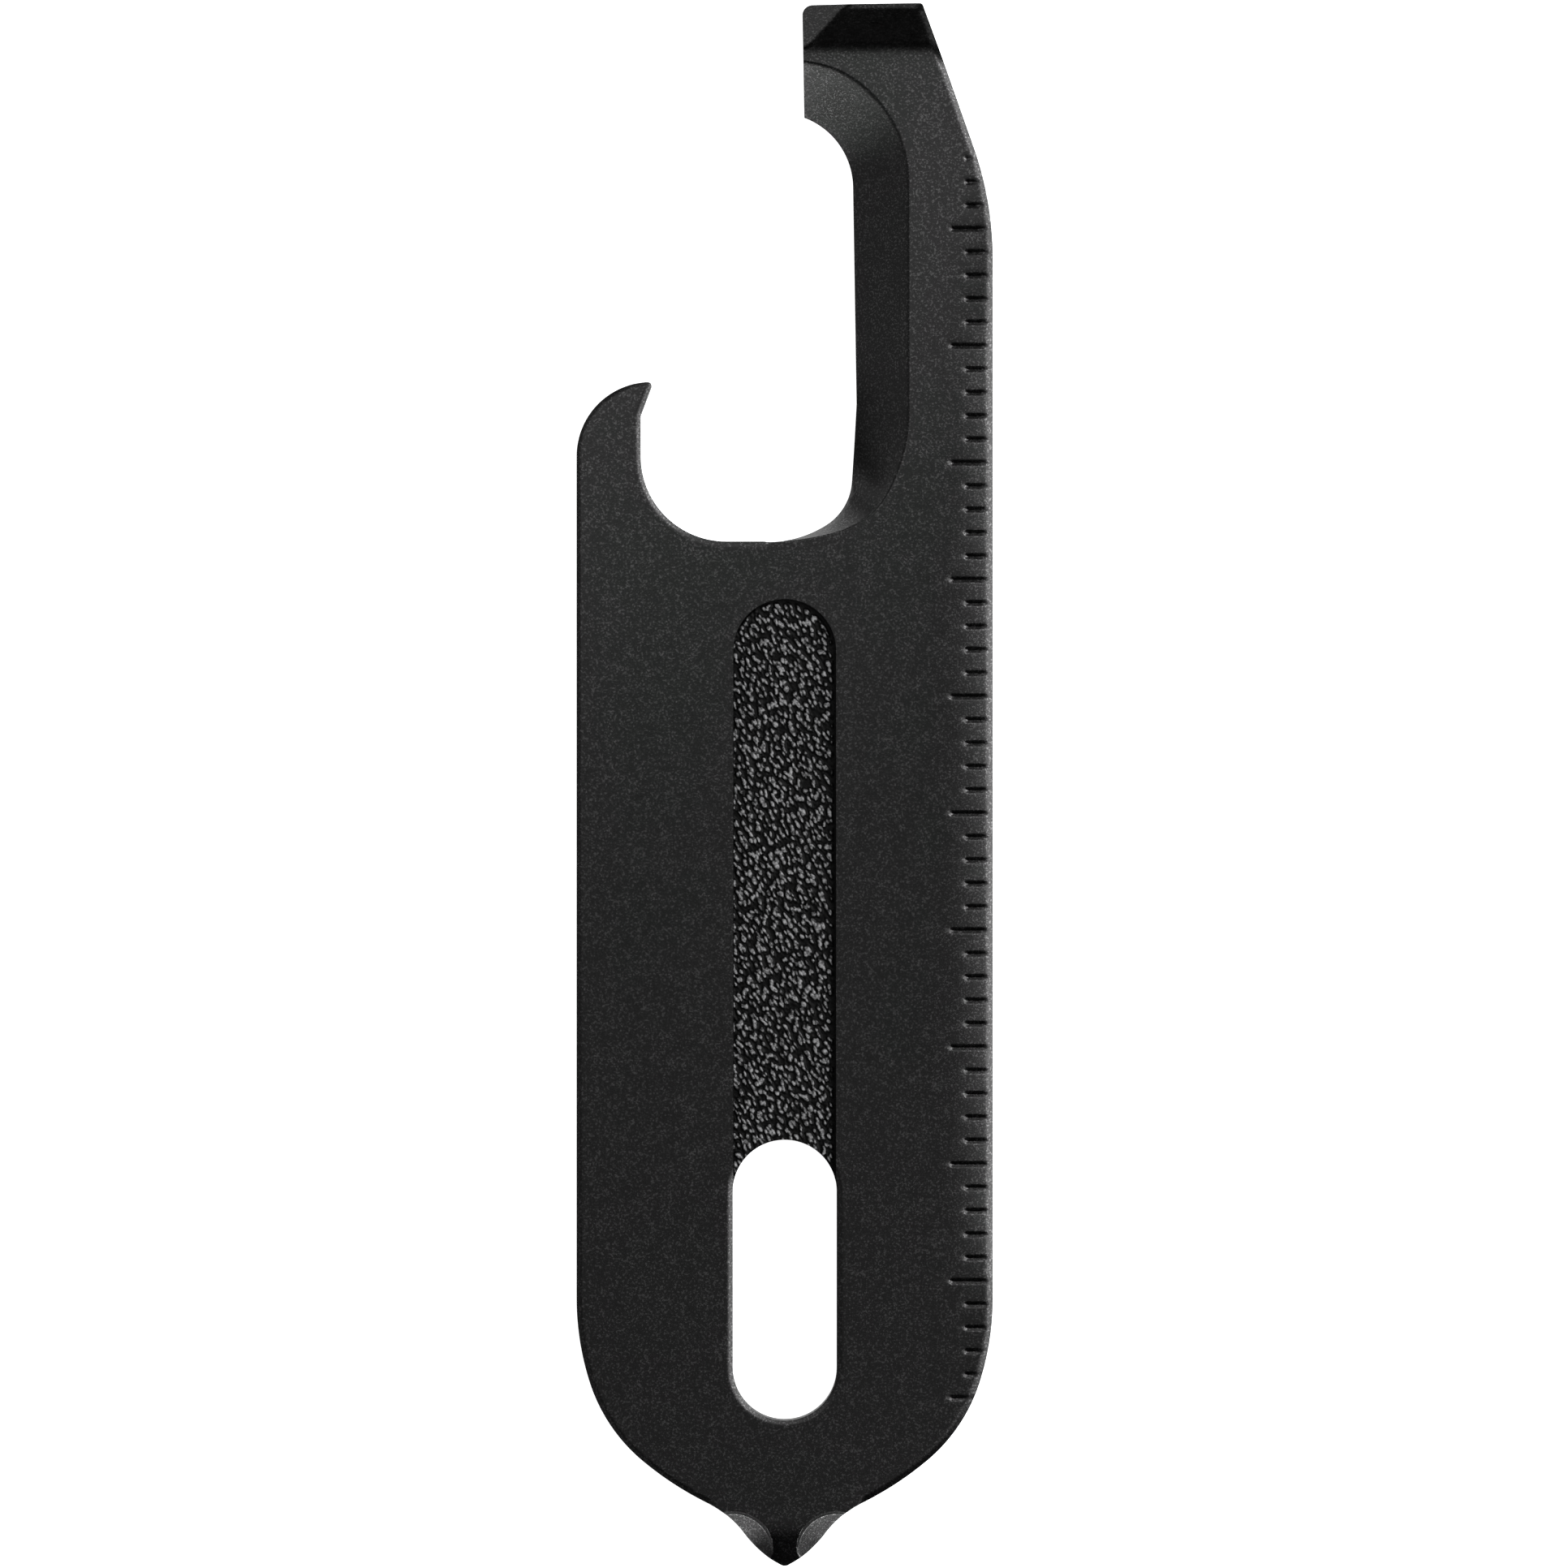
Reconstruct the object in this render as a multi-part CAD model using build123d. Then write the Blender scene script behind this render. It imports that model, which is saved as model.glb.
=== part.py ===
from build123d import *
import os
from math import cos, radians, sin, sqrt, tan

# Flat steel key-ring tool: bottle opener mouth, flat screwdriver blade, cross-point tip,
# nail file, key-ring slot and an edge ruler. All sizes are in millimetres.
# X is the width, Y the length and Z the thickness. The back face lies on Z = 0.

# Plate
LENGTH = 66.9
WIDTH = 17.8
THICKNESS = 2.2
HALF_LENGTH = LENGTH / 2
HALF_WIDTH = WIDTH / 2

# Edges rounded for the hand and the pocket: all but the blade, the lip, the claw's point and the tip
FRONT_EDGE_RADIUS = 0.25
BACK_EDGE_RADIUS = 0.12
SHARP_ABOVE_Y = 31.0
SHARP_BELOW_Y = -30.75
SHORTEST_ROUNDED_EDGE = 0.5

# Ruler edge, and the shoulder that leads from it to the blade
RULER_LOW_Y = -22.0
RULER_HIGH_Y = 22.45
SHOULDER_RADIUS = 14.4
SHOULDER_ANGLE = 19.4

# Flat screwdriver blade: a ramp that blends into the front face, with one corner bevelled off
BLADE_SIDE = (0.76, 32.98)
BLADE_TOP = (1.15, 33.38)
BLADE_LEFT_RADIUS = 0.45
BLADE_RIGHT_RADIUS = 0.15
BLEND_LOW_Y = 30.88
BLEND_HIGH_Y = 31.92
RAMP_HIGH_Y = 33.17
RAMP_ANGLE = 32.0
FACET_TOP_X = 2.40
FACET_TRACE = 0.894
FACET_CROSS_SLOPE = 0.3

# Bottle opener mouth, between a claw on the left and a bevelled lip on the right
CLAW_RADIUS = 3.17
CLAW_CENTRE_Y = 14.02
CLAW_CORNER = (-5.635, 17.189)
CLAW_TIP_RADIUS = 0.18
CLAW_NOTCH = (-6.17, 15.77)
MOUTH_RADIUS = 3.68
MOUTH_FLOOR_Y = 10.37
MOUTH_FLOOR_END_X = -0.76
LIP_THICKNESS = 0.3
LIP_BEND = [(1.75, 11.08), (2.88, 12.95), (3.08, 16.3)]
LIP_ARC_CENTRE = (-0.30, 25.54)
LIP_ARC_RADIUS = 3.23
LIP_CORNER_X = 0.84
CREST_BEND = [(2.45, 10.85), (4.38, 12.40), (5.31, 15.6)]
CREST_ARC_CENTRE = (0.04, 25.75)
CREST_ARC_RADIUS = 5.27
BEVEL_OPEN_X = -0.30

# Rounded end and cross-point tip
END_FIRST_KNOT = (8.33, -25.61)
END_KNOTS = [END_FIRST_KNOT, (6.08, -28.94), (3.3, -30.75), (1.75, -32.05), (0.21, -33.38)]
SCOOP_CENTRE = (2.22, -32.89)
SCOOP_RADIUS = 1.8
SCOOP_DEPTH = 0.85
SCOOP_DRAFT = 0.17
SCOOP_TILT = 6.0
NOSE_SLOPE_Y = -32.06
NOSE_DROP = 0.65

# Key-ring slot
SLOT_WIDTH = 4.45
SLOT_LENGTH = 12.0
SLOT_TOP_Y = -15.22
SLOT_RADIUS = SLOT_WIDTH / 2
SLOT_CENTRE_Y = SLOT_TOP_Y - SLOT_LENGTH / 2
SLOT_UPPER_ARC_Y = SLOT_TOP_Y - SLOT_RADIUS

# Nail file strip, bonded on a film into a blind pocket that runs up from the slot
POCKET_WIDTH = 4.40
POCKET_TOP_Y = 7.91
POCKET_DEPTH = 0.8
STRIP_CLEARANCE = 0.02
FILM_THICKNESS = 0.1
STRIP_RECESS = 0.2

# Ruler grooves: one a millimetre, and a longer one every fifth
TICK_PITCH = 1.0
TICK_COUNT = 54
TICKS_PER_LONG = 5
TICK_FIRST_Y = -26.27
TICK_WIDTH = 0.26
TICK_DEPTH = 0.08
TICK_SHORT_X = 7.80
TICK_LONG_X = 7.17

OVERCUT = 1.0


def arc_chain(start, tangent, knots):
    """Arcs through the knots, each leaving the last one smoothly."""
    arcs = []
    for knot in knots:
        arc = TangentArc(start, knot, tangent=tangent)
        arcs.append(arc)
        start, tangent = knot, arc % 1
    return arcs


def upper_bend(centre, radius, end_x):
    """Arc over the top of the mouth, from its right-hand side round to end_x."""
    end_y = centre[1] + sqrt(radius**2 - (end_x - centre[0]) ** 2)
    reach = radius * cos(radians(45))
    middle = (centre[0] + reach, centre[1] + reach)
    return ThreePointArc((centre[0] + radius, centre[1]), middle, (end_x, end_y))


def mouth_side(bend, centre, radius, end_x):
    """Right-hand side of the mouth, from its floor up and over to end_x."""
    over = upper_bend(centre, radius, end_x)
    floor_end = (MOUTH_FLOOR_END_X, MOUTH_FLOOR_Y)
    return [*arc_chain(floor_end, (1, 0), bend), Line(bend[-1], over @ 0), over]


def plate_outline():
    """Plan of the plate, with the mouth cut out of it."""
    ruler_edge = Line((HALF_WIDTH, RULER_LOW_Y), (HALF_WIDTH, RULER_HIGH_Y))
    shoulder = JernArc(ruler_edge @ 1, (0, 1), SHOULDER_RADIUS, SHOULDER_ANGLE)
    shoulder_end = shoulder @ 1
    run = (HALF_LENGTH - shoulder_end.Y) * tan(radians(SHOULDER_ANGLE))
    blade_right = (shoulder_end.X - run, HALF_LENGTH)
    lip = mouth_side(LIP_BEND, LIP_ARC_CENTRE, LIP_ARC_RADIUS, LIP_CORNER_X)
    mouth_left = (CLAW_NOTCH[0], MOUTH_FLOOR_Y + MOUTH_RADIUS)
    mouth_low = (CLAW_NOTCH[0] + MOUTH_RADIUS, MOUTH_FLOOR_Y)
    claw_foot = (-HALF_WIDTH, CLAW_CENTRE_Y)
    right_end = arc_chain((HALF_WIDTH, RULER_LOW_Y), (0, -1), END_KNOTS)
    nose_x, nose_y = END_KNOTS[-1]
    outline = make_face(
        [
            ruler_edge,
            shoulder,
            Line(shoulder_end, blade_right),
            Line(blade_right, BLADE_TOP),
            RadiusArc(BLADE_TOP, BLADE_SIDE, -BLADE_LEFT_RADIUS),
            Line(BLADE_SIDE, lip[-1] @ 1),
            *lip,
            Line((MOUTH_FLOOR_END_X, MOUTH_FLOOR_Y), mouth_low),
            TangentArc(mouth_low, mouth_left, tangent=(-1, 0)),
            Line(mouth_left, CLAW_NOTCH),
            Line(CLAW_NOTCH, CLAW_CORNER),
            TangentArc(claw_foot, CLAW_CORNER, tangent=(0, 1)),
            Line(claw_foot, (-HALF_WIDTH, RULER_LOW_Y)),
            *right_end,
            *[mirror(arc, about=Plane.YZ) for arc in right_end],
            ThreePointArc((nose_x, nose_y), (0, -HALF_LENGTH), (-nose_x, nose_y)),
        ]
    )
    for corner, radius in ((CLAW_CORNER, CLAW_TIP_RADIUS), (blade_right, BLADE_RIGHT_RADIUS)):
        outline = fillet(outline.vertices().sort_by_distance((*corner, 0))[0], radius)
    return outline


def is_handled_edge(edge):
    """True for an edge that is rounded: not at the blade, the lip, the claw's point or the tip."""
    middle = edge @ 0.5
    at_an_end = not SHARP_BELOW_Y < middle.Y < SHARP_ABOVE_Y
    on_lip = MOUTH_FLOOR_END_X < middle.X < CREST_BEND[-1][0] and middle.Y > MOUTH_FLOOR_Y
    return edge.length > SHORTEST_ROUNDED_EDGE and not (at_an_end or on_lip)


def rounded_plate():
    """Plate with its slot, its outside edges rounded on both faces."""
    slot = Pos(0, SLOT_CENTRE_Y) * SlotOverall(SLOT_LENGTH, SLOT_WIDTH, rotation=90)
    plate = extrude(plate_outline() - slot, THICKNESS)
    for face_index, radius in ((-1, FRONT_EDGE_RADIUS), (0, BACK_EDGE_RADIUS)):
        edges = plate.faces().sort_by(Axis.Z)[face_index].edges()
        plate = fillet(edges.filter_by(is_handled_edge), radius)
    return plate


def lip_bevel():
    """Cutter for the slope from the crest on the front face down to the thin lip."""
    sections = []
    for height, bend, centre, radius in (
        (LIP_THICKNESS, LIP_BEND, LIP_ARC_CENTRE, LIP_ARC_RADIUS),
        (THICKNESS, CREST_BEND, CREST_ARC_CENTRE, CREST_ARC_RADIUS),
    ):
        side = mouth_side(bend, centre, radius, BEVEL_OPEN_X)
        closing = Line(side[-1] @ 1, (MOUTH_FLOOR_END_X, MOUTH_FLOOR_Y))
        sections.append(Pos(0, 0, height) * make_face([*side, closing]))
    return loft(sections, ruled=True)


def blend_drop():
    """Fall of the blade's front face over the blend."""
    return (BLEND_HIGH_Y - BLEND_LOW_Y) * tan(radians(RAMP_ANGLE / 2))


def blade_tip_thickness():
    """Thickness that the ramp leaves at the end of the blade."""
    return THICKNESS - blend_drop() - (RAMP_HIGH_Y - BLEND_HIGH_Y) * tan(radians(RAMP_ANGLE))


def blade_ramp():
    """Cutter above the blade: a blend, a straight ramp and a narrow land at the end."""
    tip_height = blade_tip_thickness()
    blend_start = (BLEND_LOW_Y, THICKNESS)
    blend_end = (BLEND_HIGH_Y, THICKNESS - blend_drop())
    beyond = HALF_LENGTH + OVERCUT
    profile = Plane.YZ * make_face(
        [
            TangentArc(blend_start, blend_end, tangent=(1, 0)),
            Line(blend_end, (RAMP_HIGH_Y, tip_height)),
            Line((RAMP_HIGH_Y, tip_height), (beyond, tip_height)),
            Line((beyond, tip_height), (beyond, THICKNESS + OVERCUT)),
            Line((beyond, THICKNESS + OVERCUT), (BLEND_LOW_Y, THICKNESS + OVERCUT)),
            Line((BLEND_LOW_Y, THICKNESS + OVERCUT), blend_start),
        ]
    )
    return extrude(profile, HALF_WIDTH)


def blade_facet():
    """Cutter for the bevelled corner of the blade: all that lies above a sloping plane."""
    fall_y = tan(radians(RAMP_ANGLE)) + FACET_TRACE * FACET_CROSS_SLOPE
    corner = (FACET_TOP_X, RAMP_HIGH_Y, blade_tip_thickness())
    above = Plane(origin=corner, z_dir=(-FACET_CROSS_SLOPE, fall_y, 1))
    size = 4 * THICKNESS
    return above * Box(size, size, size, align=(Align.CENTER, Align.CENTER, Align.MIN))


def tip_scoop():
    """Cutter for one hollow of the cross-point tip, deeper towards the outside."""
    standing = (Align.CENTER, Align.CENTER, Align.MIN)
    bowl = Cone(SCOOP_RADIUS - SCOOP_DRAFT, SCOOP_RADIUS, SCOOP_DEPTH, align=standing)
    mouth = Pos(0, 0, SCOOP_DEPTH) * Cylinder(SCOOP_RADIUS, OVERCUT, align=standing)
    place = Pos(*SCOOP_CENTRE, THICKNESS - SCOOP_DEPTH) * Rot(0, SCOOP_TILT, 0)
    return place * (bowl + mouth)


def nose_slope():
    """Cutter that slopes the front of the tip down to the nose."""
    run = HALF_LENGTH + NOSE_SLOPE_Y
    beyond_y = -HALF_LENGTH - OVERCUT
    profile = Plane.YZ * Polygon(
        (NOSE_SLOPE_Y, THICKNESS),
        (NOSE_SLOPE_Y, THICKNESS + OVERCUT),
        (beyond_y, THICKNESS + OVERCUT),
        (beyond_y, THICKNESS - NOSE_DROP * (run + OVERCUT) / run),
        align=None,
    )
    return extrude(profile, HALF_WIDTH, both=True)


def edge_x(y):
    """Distance of the ruler edge from the centre line at height y."""
    if y > RULER_HIGH_Y:
        return HALF_WIDTH - SHOULDER_RADIUS + sqrt(SHOULDER_RADIUS**2 - (y - RULER_HIGH_Y) ** 2)
    if y < RULER_LOW_Y:
        run, drop = HALF_WIDTH - END_FIRST_KNOT[0], RULER_LOW_Y - END_FIRST_KNOT[1]
        radius = (run**2 + drop**2) / (2 * run)
        return HALF_WIDTH - radius + sqrt(radius**2 - (RULER_LOW_Y - y) ** 2)
    return HALF_WIDTH


def ruler_tick(index):
    """Cutter for one ruler groove, which follows the face and then the rounded edge."""
    y = TICK_FIRST_Y + index * TICK_PITCH
    start_x = TICK_SHORT_X if index % TICKS_PER_LONG else TICK_LONG_X
    side_x = edge_x(y)
    floor_z = THICKNESS - TICK_DEPTH
    foot_z = THICKNESS - FRONT_EDGE_RADIUS
    bend_start = (side_x - FRONT_EDGE_RADIUS, floor_z)
    bend_end = (side_x - TICK_DEPTH, foot_z)
    beyond = HALF_WIDTH + OVERCUT
    top_z = THICKNESS + OVERCUT
    profile = make_face(
        [
            Line((start_x, floor_z), bend_start),
            TangentArc(bend_start, bend_end, tangent=(1, 0)),
            Line(bend_end, (beyond, foot_z)),
            Line((beyond, foot_z), (beyond, top_z)),
            Line((beyond, top_z), (start_x, top_z)),
            Line((start_x, top_z), (start_x, floor_z)),
        ]
    )
    return Pos(0, y) * extrude(Plane.XZ * profile, TICK_WIDTH / 2, both=True)


def pocket_plan(width, low_y):
    """Plan of the pocket: straight sides from low_y up to a round top."""
    radius = width / 2
    centre_y = POCKET_TOP_Y - POCKET_WIDTH / 2
    straight = Pos(0, (centre_y + low_y) / 2) * Rectangle(width, centre_y - low_y)
    return straight + Pos(0, centre_y) * Circle(radius)


def tool_body():
    """The steel plate with every feature cut into it."""
    middle_plane = Plane.XY.offset(THICKNESS / 2)
    front_tip = [tip_scoop(), mirror(tip_scoop(), about=Plane.YZ), nose_slope()]
    back_tip = [mirror(cutter, about=middle_plane) for cutter in front_tip]
    body = rounded_plate()
    body -= [lip_bevel(), blade_ramp(), blade_facet(), *front_tip, *back_tip]
    pocket = extrude(pocket_plan(POCKET_WIDTH, SLOT_UPPER_ARC_Y), POCKET_DEPTH + OVERCUT)
    body -= Pos(0, 0, THICKNESS - POCKET_DEPTH) * pocket
    body -= [ruler_tick(index) for index in range(TICK_COUNT)]
    return body


def pocket_layer(low_z, thickness):
    """A flat layer that fills the pocket's plan and stops at the slot."""
    width = POCKET_WIDTH - 2 * STRIP_CLEARANCE
    plan = pocket_plan(width, SLOT_UPPER_ARC_Y) - Pos(0, SLOT_UPPER_ARC_Y) * Circle(SLOT_RADIUS)
    return Pos(0, 0, low_z) * extrude(plan, thickness)


pocket_floor_z = THICKNESS - POCKET_DEPTH
strip_low_z = pocket_floor_z + FILM_THICKNESS
nodes = {
    "tool_body": tool_body(),
    "file_bond_film": pocket_layer(pocket_floor_z, FILM_THICKNESS),
    "nail_file_strip": pocket_layer(strip_low_z, THICKNESS - STRIP_RECESS - strip_low_z),
}
os.makedirs("parts", exist_ok=True)
for name, solid in nodes.items():
    export_step(solid, f"parts/{name}.step")
    print(name, solid.volume, solid.bounding_box())
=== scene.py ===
"""Keychain bottle opener: a flat steel tool with an opener mouth, a flat blade, a cross-point
tip, an edge ruler, a key-ring slot and a bonded nail file strip.

Plan sizes in the classes are in millimetres, X across and Y along the tool, with the back face
on Z = 0. Meshes are written in metres, in the same frame as the CAD model.
"""

import logging
import math
from dataclasses import dataclass, field
from enum import Enum
from typing import Any, Callable, Iterable

import bmesh
import bpy
import numpy as np
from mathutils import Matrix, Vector
from mathutils.geometry import delaunay_2d_cdt
from mathutils.kdtree import KDTree


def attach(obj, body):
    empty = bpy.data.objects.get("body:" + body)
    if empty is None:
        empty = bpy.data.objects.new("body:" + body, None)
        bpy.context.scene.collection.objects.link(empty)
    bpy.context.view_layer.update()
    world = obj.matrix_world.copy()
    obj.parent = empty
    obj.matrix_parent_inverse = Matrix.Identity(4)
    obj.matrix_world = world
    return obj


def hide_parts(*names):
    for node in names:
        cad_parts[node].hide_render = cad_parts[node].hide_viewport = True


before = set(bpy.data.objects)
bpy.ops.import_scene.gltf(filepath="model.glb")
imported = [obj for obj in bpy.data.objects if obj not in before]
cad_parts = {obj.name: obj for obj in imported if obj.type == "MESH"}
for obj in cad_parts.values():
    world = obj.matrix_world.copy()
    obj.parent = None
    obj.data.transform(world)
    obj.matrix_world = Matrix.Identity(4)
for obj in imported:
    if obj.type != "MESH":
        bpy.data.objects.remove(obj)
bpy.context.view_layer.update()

LOG = logging.getLogger("opener")
MM = 0.001

Point = tuple[float, float]
Colour = tuple[float, float, float, float]
Height = Callable[[np.ndarray], np.ndarray]

# Attributes that the geometry stores for the trees and the finishes.
EDGE_DISTANCE = "edge_distance"
GRAIN_HEIGHT = "grain_height"
# Further than any feature reaches, in millimetres.
FAR = 9.0


class Axis(Enum):
    """Components of a vector, by their output on a Separate XYZ node."""

    X = "X"
    Y = "Y"
    Z = "Z"


class Side(Enum):
    """Which way the faces of a wall look from its closed loop."""

    OUT = 1
    IN = -1


# ---------------------------------------------------------------- node trees


class Graph:
    """Makes and links the nodes of one tree."""

    def __init__(self, tree: bpy.types.NodeTree) -> None:
        """Starts on an existing tree.

        Args:
            tree: The shader or geometry tree to write in.
        """
        self.tree = tree

    def node(
        self,
        kind: str,
        settings: dict[str, Any] | None = None,
        sockets: dict[str | int, Any] | None = None,
    ) -> bpy.types.Node:
        """Makes a node, sets it up, then feeds its sockets.

        Args:
            kind: The node's type name.
            settings: Properties of the node, set first.
            sockets: A value, a Signal or a socket for each input, by name or index.

        Returns:
            The new node.
        """
        made = self.tree.nodes.new(kind)
        for name, value in (settings or {}).items():
            setattr(made, name, value)
        for key, value in (sockets or {}).items():
            self.feed(made.inputs[key], value)
        return made

    def feed(self, socket: bpy.types.NodeSocket, value: Any) -> None:
        """Links or sets one input.

        Args:
            socket: The input to fill.
            value: A Signal, a socket to link, or a plain value.
        """
        if isinstance(value, Signal):
            self.tree.links.new(value.socket, socket)
        elif isinstance(value, bpy.types.NodeSocket):
            self.tree.links.new(value, socket)
        else:
            socket.default_value = value

    def signal(self, *args: Any, output: str | int = 0) -> "Signal":
        """Makes a node as node() does and wraps one of its outputs."""
        return Signal(self, self.node(*args).outputs[output])

    def part(self, vector: Any, axis: Axis) -> "Signal":
        """One component of a vector."""
        return self.signal("ShaderNodeSeparateXYZ", {}, {0: vector}, output=axis.value)

    def vector(self, x: Any, y: Any, z: Any) -> "Signal":
        """A vector from three components."""
        return self.signal("ShaderNodeCombineXYZ", {}, {0: x, 1: y, 2: z})


def fresh_graph(owner: bpy.types.Material | bpy.types.World) -> Graph:
    """Turns the nodes of a material or a world on, empties them and returns their graph."""
    owner.use_nodes = True
    owner.node_tree.nodes.clear()
    return Graph(owner.node_tree)


@dataclass(frozen=True)
class Signal:
    """A number carried by a socket, on which arithmetic adds Math nodes."""

    graph: Graph
    socket: bpy.types.NodeSocket

    def _math(self, operation: str, *values: Any, clamp: bool = False) -> "Signal":
        """Adds a Math node over the values, in their order."""
        settings = {"operation": operation, "use_clamp": clamp}
        return self.graph.signal("ShaderNodeMath", settings, dict(enumerate(values)))

    def __add__(self, other: Any) -> "Signal":
        """Sum."""
        return self._math("ADD", self, other)

    def __radd__(self, other: Any) -> "Signal":
        """Sum, from the right."""
        return self._math("ADD", other, self)

    def __sub__(self, other: Any) -> "Signal":
        """Difference."""
        return self._math("SUBTRACT", self, other)

    def __rsub__(self, other: Any) -> "Signal":
        """Difference, from the right."""
        return self._math("SUBTRACT", other, self)

    def __mul__(self, other: Any) -> "Signal":
        """Product."""
        return self._math("MULTIPLY", self, other)

    def __rmul__(self, other: Any) -> "Signal":
        """Product, from the right."""
        return self._math("MULTIPLY", other, self)

    def __truediv__(self, other: Any) -> "Signal":
        """Quotient."""
        return self._math("DIVIDE", self, other)

    def __rtruediv__(self, other: Any) -> "Signal":
        """Quotient, from the right."""
        return self._math("DIVIDE", other, self)

    def __mod__(self, other: Any) -> "Signal":
        """Remainder, never negative."""
        return self._math("FLOORED_MODULO", self, other)

    def __rmod__(self, other: Any) -> "Signal":
        """Remainder, from the right."""
        return self._math("FLOORED_MODULO", other, self)

    def __abs__(self) -> "Signal":
        """Size without sign."""
        return self._math("ABSOLUTE", self)

    def __gt__(self, other: Any) -> "Signal":
        """1 where greater, else 0."""
        return self._math("GREATER_THAN", self, other)

    def __lt__(self, other: Any) -> "Signal":
        """1 where less, else 0."""
        return self._math("LESS_THAN", self, other)

    def rounded(self) -> "Signal":
        """Nearest whole number."""
        return self._math("ROUND", self)

    def at_least(self, low: Any) -> "Signal":
        """The greater of this and low."""
        return self._math("MAXIMUM", self, low)

    def at_most(self, high: Any) -> "Signal":
        """The smaller of this and high."""
        return self._math("MINIMUM", self, high)

    def unit(self) -> "Signal":
        """Held between 0 and 1."""
        return self._math("MULTIPLY", self, 1.0, clamp=True)

    def squared(self) -> "Signal":
        """Square."""
        return self._math("MULTIPLY", self, self)

    def root(self) -> "Signal":
        """Square root."""
        return self._math("SQRT", self)

    def smooth(self, low: float, high: float) -> "Signal":
        """0 below low, 1 above high, and an S-shaped step between.

        Args:
            low: Where the step starts.
            high: Where it ends.

        Returns:
            The step.
        """
        settings = {"interpolation_type": "SMOOTHSTEP"}
        limits = {"Value": self, "From Min": low, "From Max": high}
        return self.graph.signal("ShaderNodeMapRange", settings, limits)


# ---------------------------------------------------------------- finishes


@dataclass(frozen=True)
class Finish:
    """Base of the finishes: starts a material and ends it in a Principled shader."""

    name: str

    def material(self) -> bpy.types.Material:
        """Builds the material, or returns it if it was built before."""
        known = bpy.data.materials.get(self.name)
        if known:
            return known
        made = bpy.data.materials.new(self.name)
        self.write(fresh_graph(made))
        return made

    def write(self, graph: Graph) -> None:
        """Writes the finish's nodes; each finish has its own."""
        raise NotImplementedError

    @staticmethod
    def millimetres(graph: Graph) -> bpy.types.NodeSocket:
        """Object coordinates, scaled to millimetres."""
        place = graph.node("ShaderNodeTexCoord").outputs["Object"]
        settings = {"operation": "SCALE"}
        return graph.node("ShaderNodeVectorMath", settings, {0: place, "Scale": 1000}).outputs[0]

    @staticmethod
    def noise(graph: Graph, place: Any, scale: float, detail: float = 2.0) -> Signal:
        """Cloudy noise between 0 and 1.

        Args:
            graph: The tree to write in.
            place: Coordinates in millimetres.
            scale: Features a millimetre.
            detail: Octaves of finer noise.

        Returns:
            The noise.
        """
        sockets = {"Vector": place, "Scale": scale, "Detail": detail, "Roughness": 0.6}
        return graph.signal("ShaderNodeTexNoise", {}, sockets)

    @staticmethod
    def blend(graph: Graph, factor: Any, low: Colour, high: Colour) -> bpy.types.NodeSocket:
        """A colour between low and high."""
        sockets = {"Factor": factor, 6: low, 7: high}
        return graph.node("ShaderNodeMix", {"data_type": "RGBA"}, sockets).outputs[2]

    @staticmethod
    def bump(graph: Graph, height: Any, depth_mm: float) -> bpy.types.NodeSocket:
        """A normal roughened by a height, depth_mm deep where the height is 1."""
        sockets = {"Height": height, "Strength": 1.0, "Distance": depth_mm * MM}
        return graph.node("ShaderNodeBump", {}, sockets).outputs[0]

    @staticmethod
    def shade(graph: Graph, sockets: dict[str | int, Any]) -> None:
        """Ends the material in a Principled shader with these sockets."""
        shader = graph.node("ShaderNodeBsdfPrincipled", {}, sockets)
        graph.node("ShaderNodeOutputMaterial", {}, {"Surface": shader.outputs[0]})


@dataclass(frozen=True)
class CoatedSteel(Finish):
    """Matt black coating over blasted steel, with fine flecks that shine a little more.

    Attributes:
        dark: Colour between the flecks.
        light: Colour of the flecks.
        roughness: The coating's mean roughness.
        ior: Its refractive index.
        grain: Features of the grain, a millimetre.
        grain_depth: Depth of the grain, in millimetres.
        cloud: Features of the slow clouding, a millimetre.
        fleck_range: Grain at which a fleck starts, and at which it is full.
        fleck_roughness: Roughness of the flecks.
        fleck_ior: Refractive index of the flecks.
    """

    name: str = "coated_steel"
    dark: Colour = (0.0002, 0.0002, 0.0002, 1.0)
    light: Colour = (0.0020, 0.0020, 0.0021, 1.0)
    roughness: float = 0.25
    ior: float = 1.40
    grain: float = 12.5
    grain_depth: float = 0.004
    cloud: float = 1.3
    fleck_range: tuple[float, float] = (0.51, 0.65)
    fleck_roughness: float = 0.24
    fleck_ior: float = 1.62

    def write(self, graph: Graph) -> None:
        """Writes the flecks, the soft clouding of the coat and its slight changes of gloss."""
        place = self.millimetres(graph)
        grain = self.noise(graph, place, self.grain, 3.0)
        cloud = self.noise(graph, place, self.cloud, 3.0)
        pits = self.noise(graph, place, 4.0 * self.cloud, 2.0)
        flecks = (0.1 * cloud + 0.9 * grain).smooth(*self.fleck_range)
        sockets = {
            "Base Color": self.blend(graph, flecks, self.dark, self.light),
            "Roughness": self.roughness + 0.10 * (cloud - 0.5) + 0.06 * (grain - 0.5),
            "IOR": self.ior,
            "Coat Weight": flecks,
            "Coat Roughness": self.fleck_roughness,
            "Coat IOR": self.fleck_ior,
            "Normal": self.bump(graph, grain + 0.5 * pits, self.grain_depth),
        }
        self.shade(graph, sockets)


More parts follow.
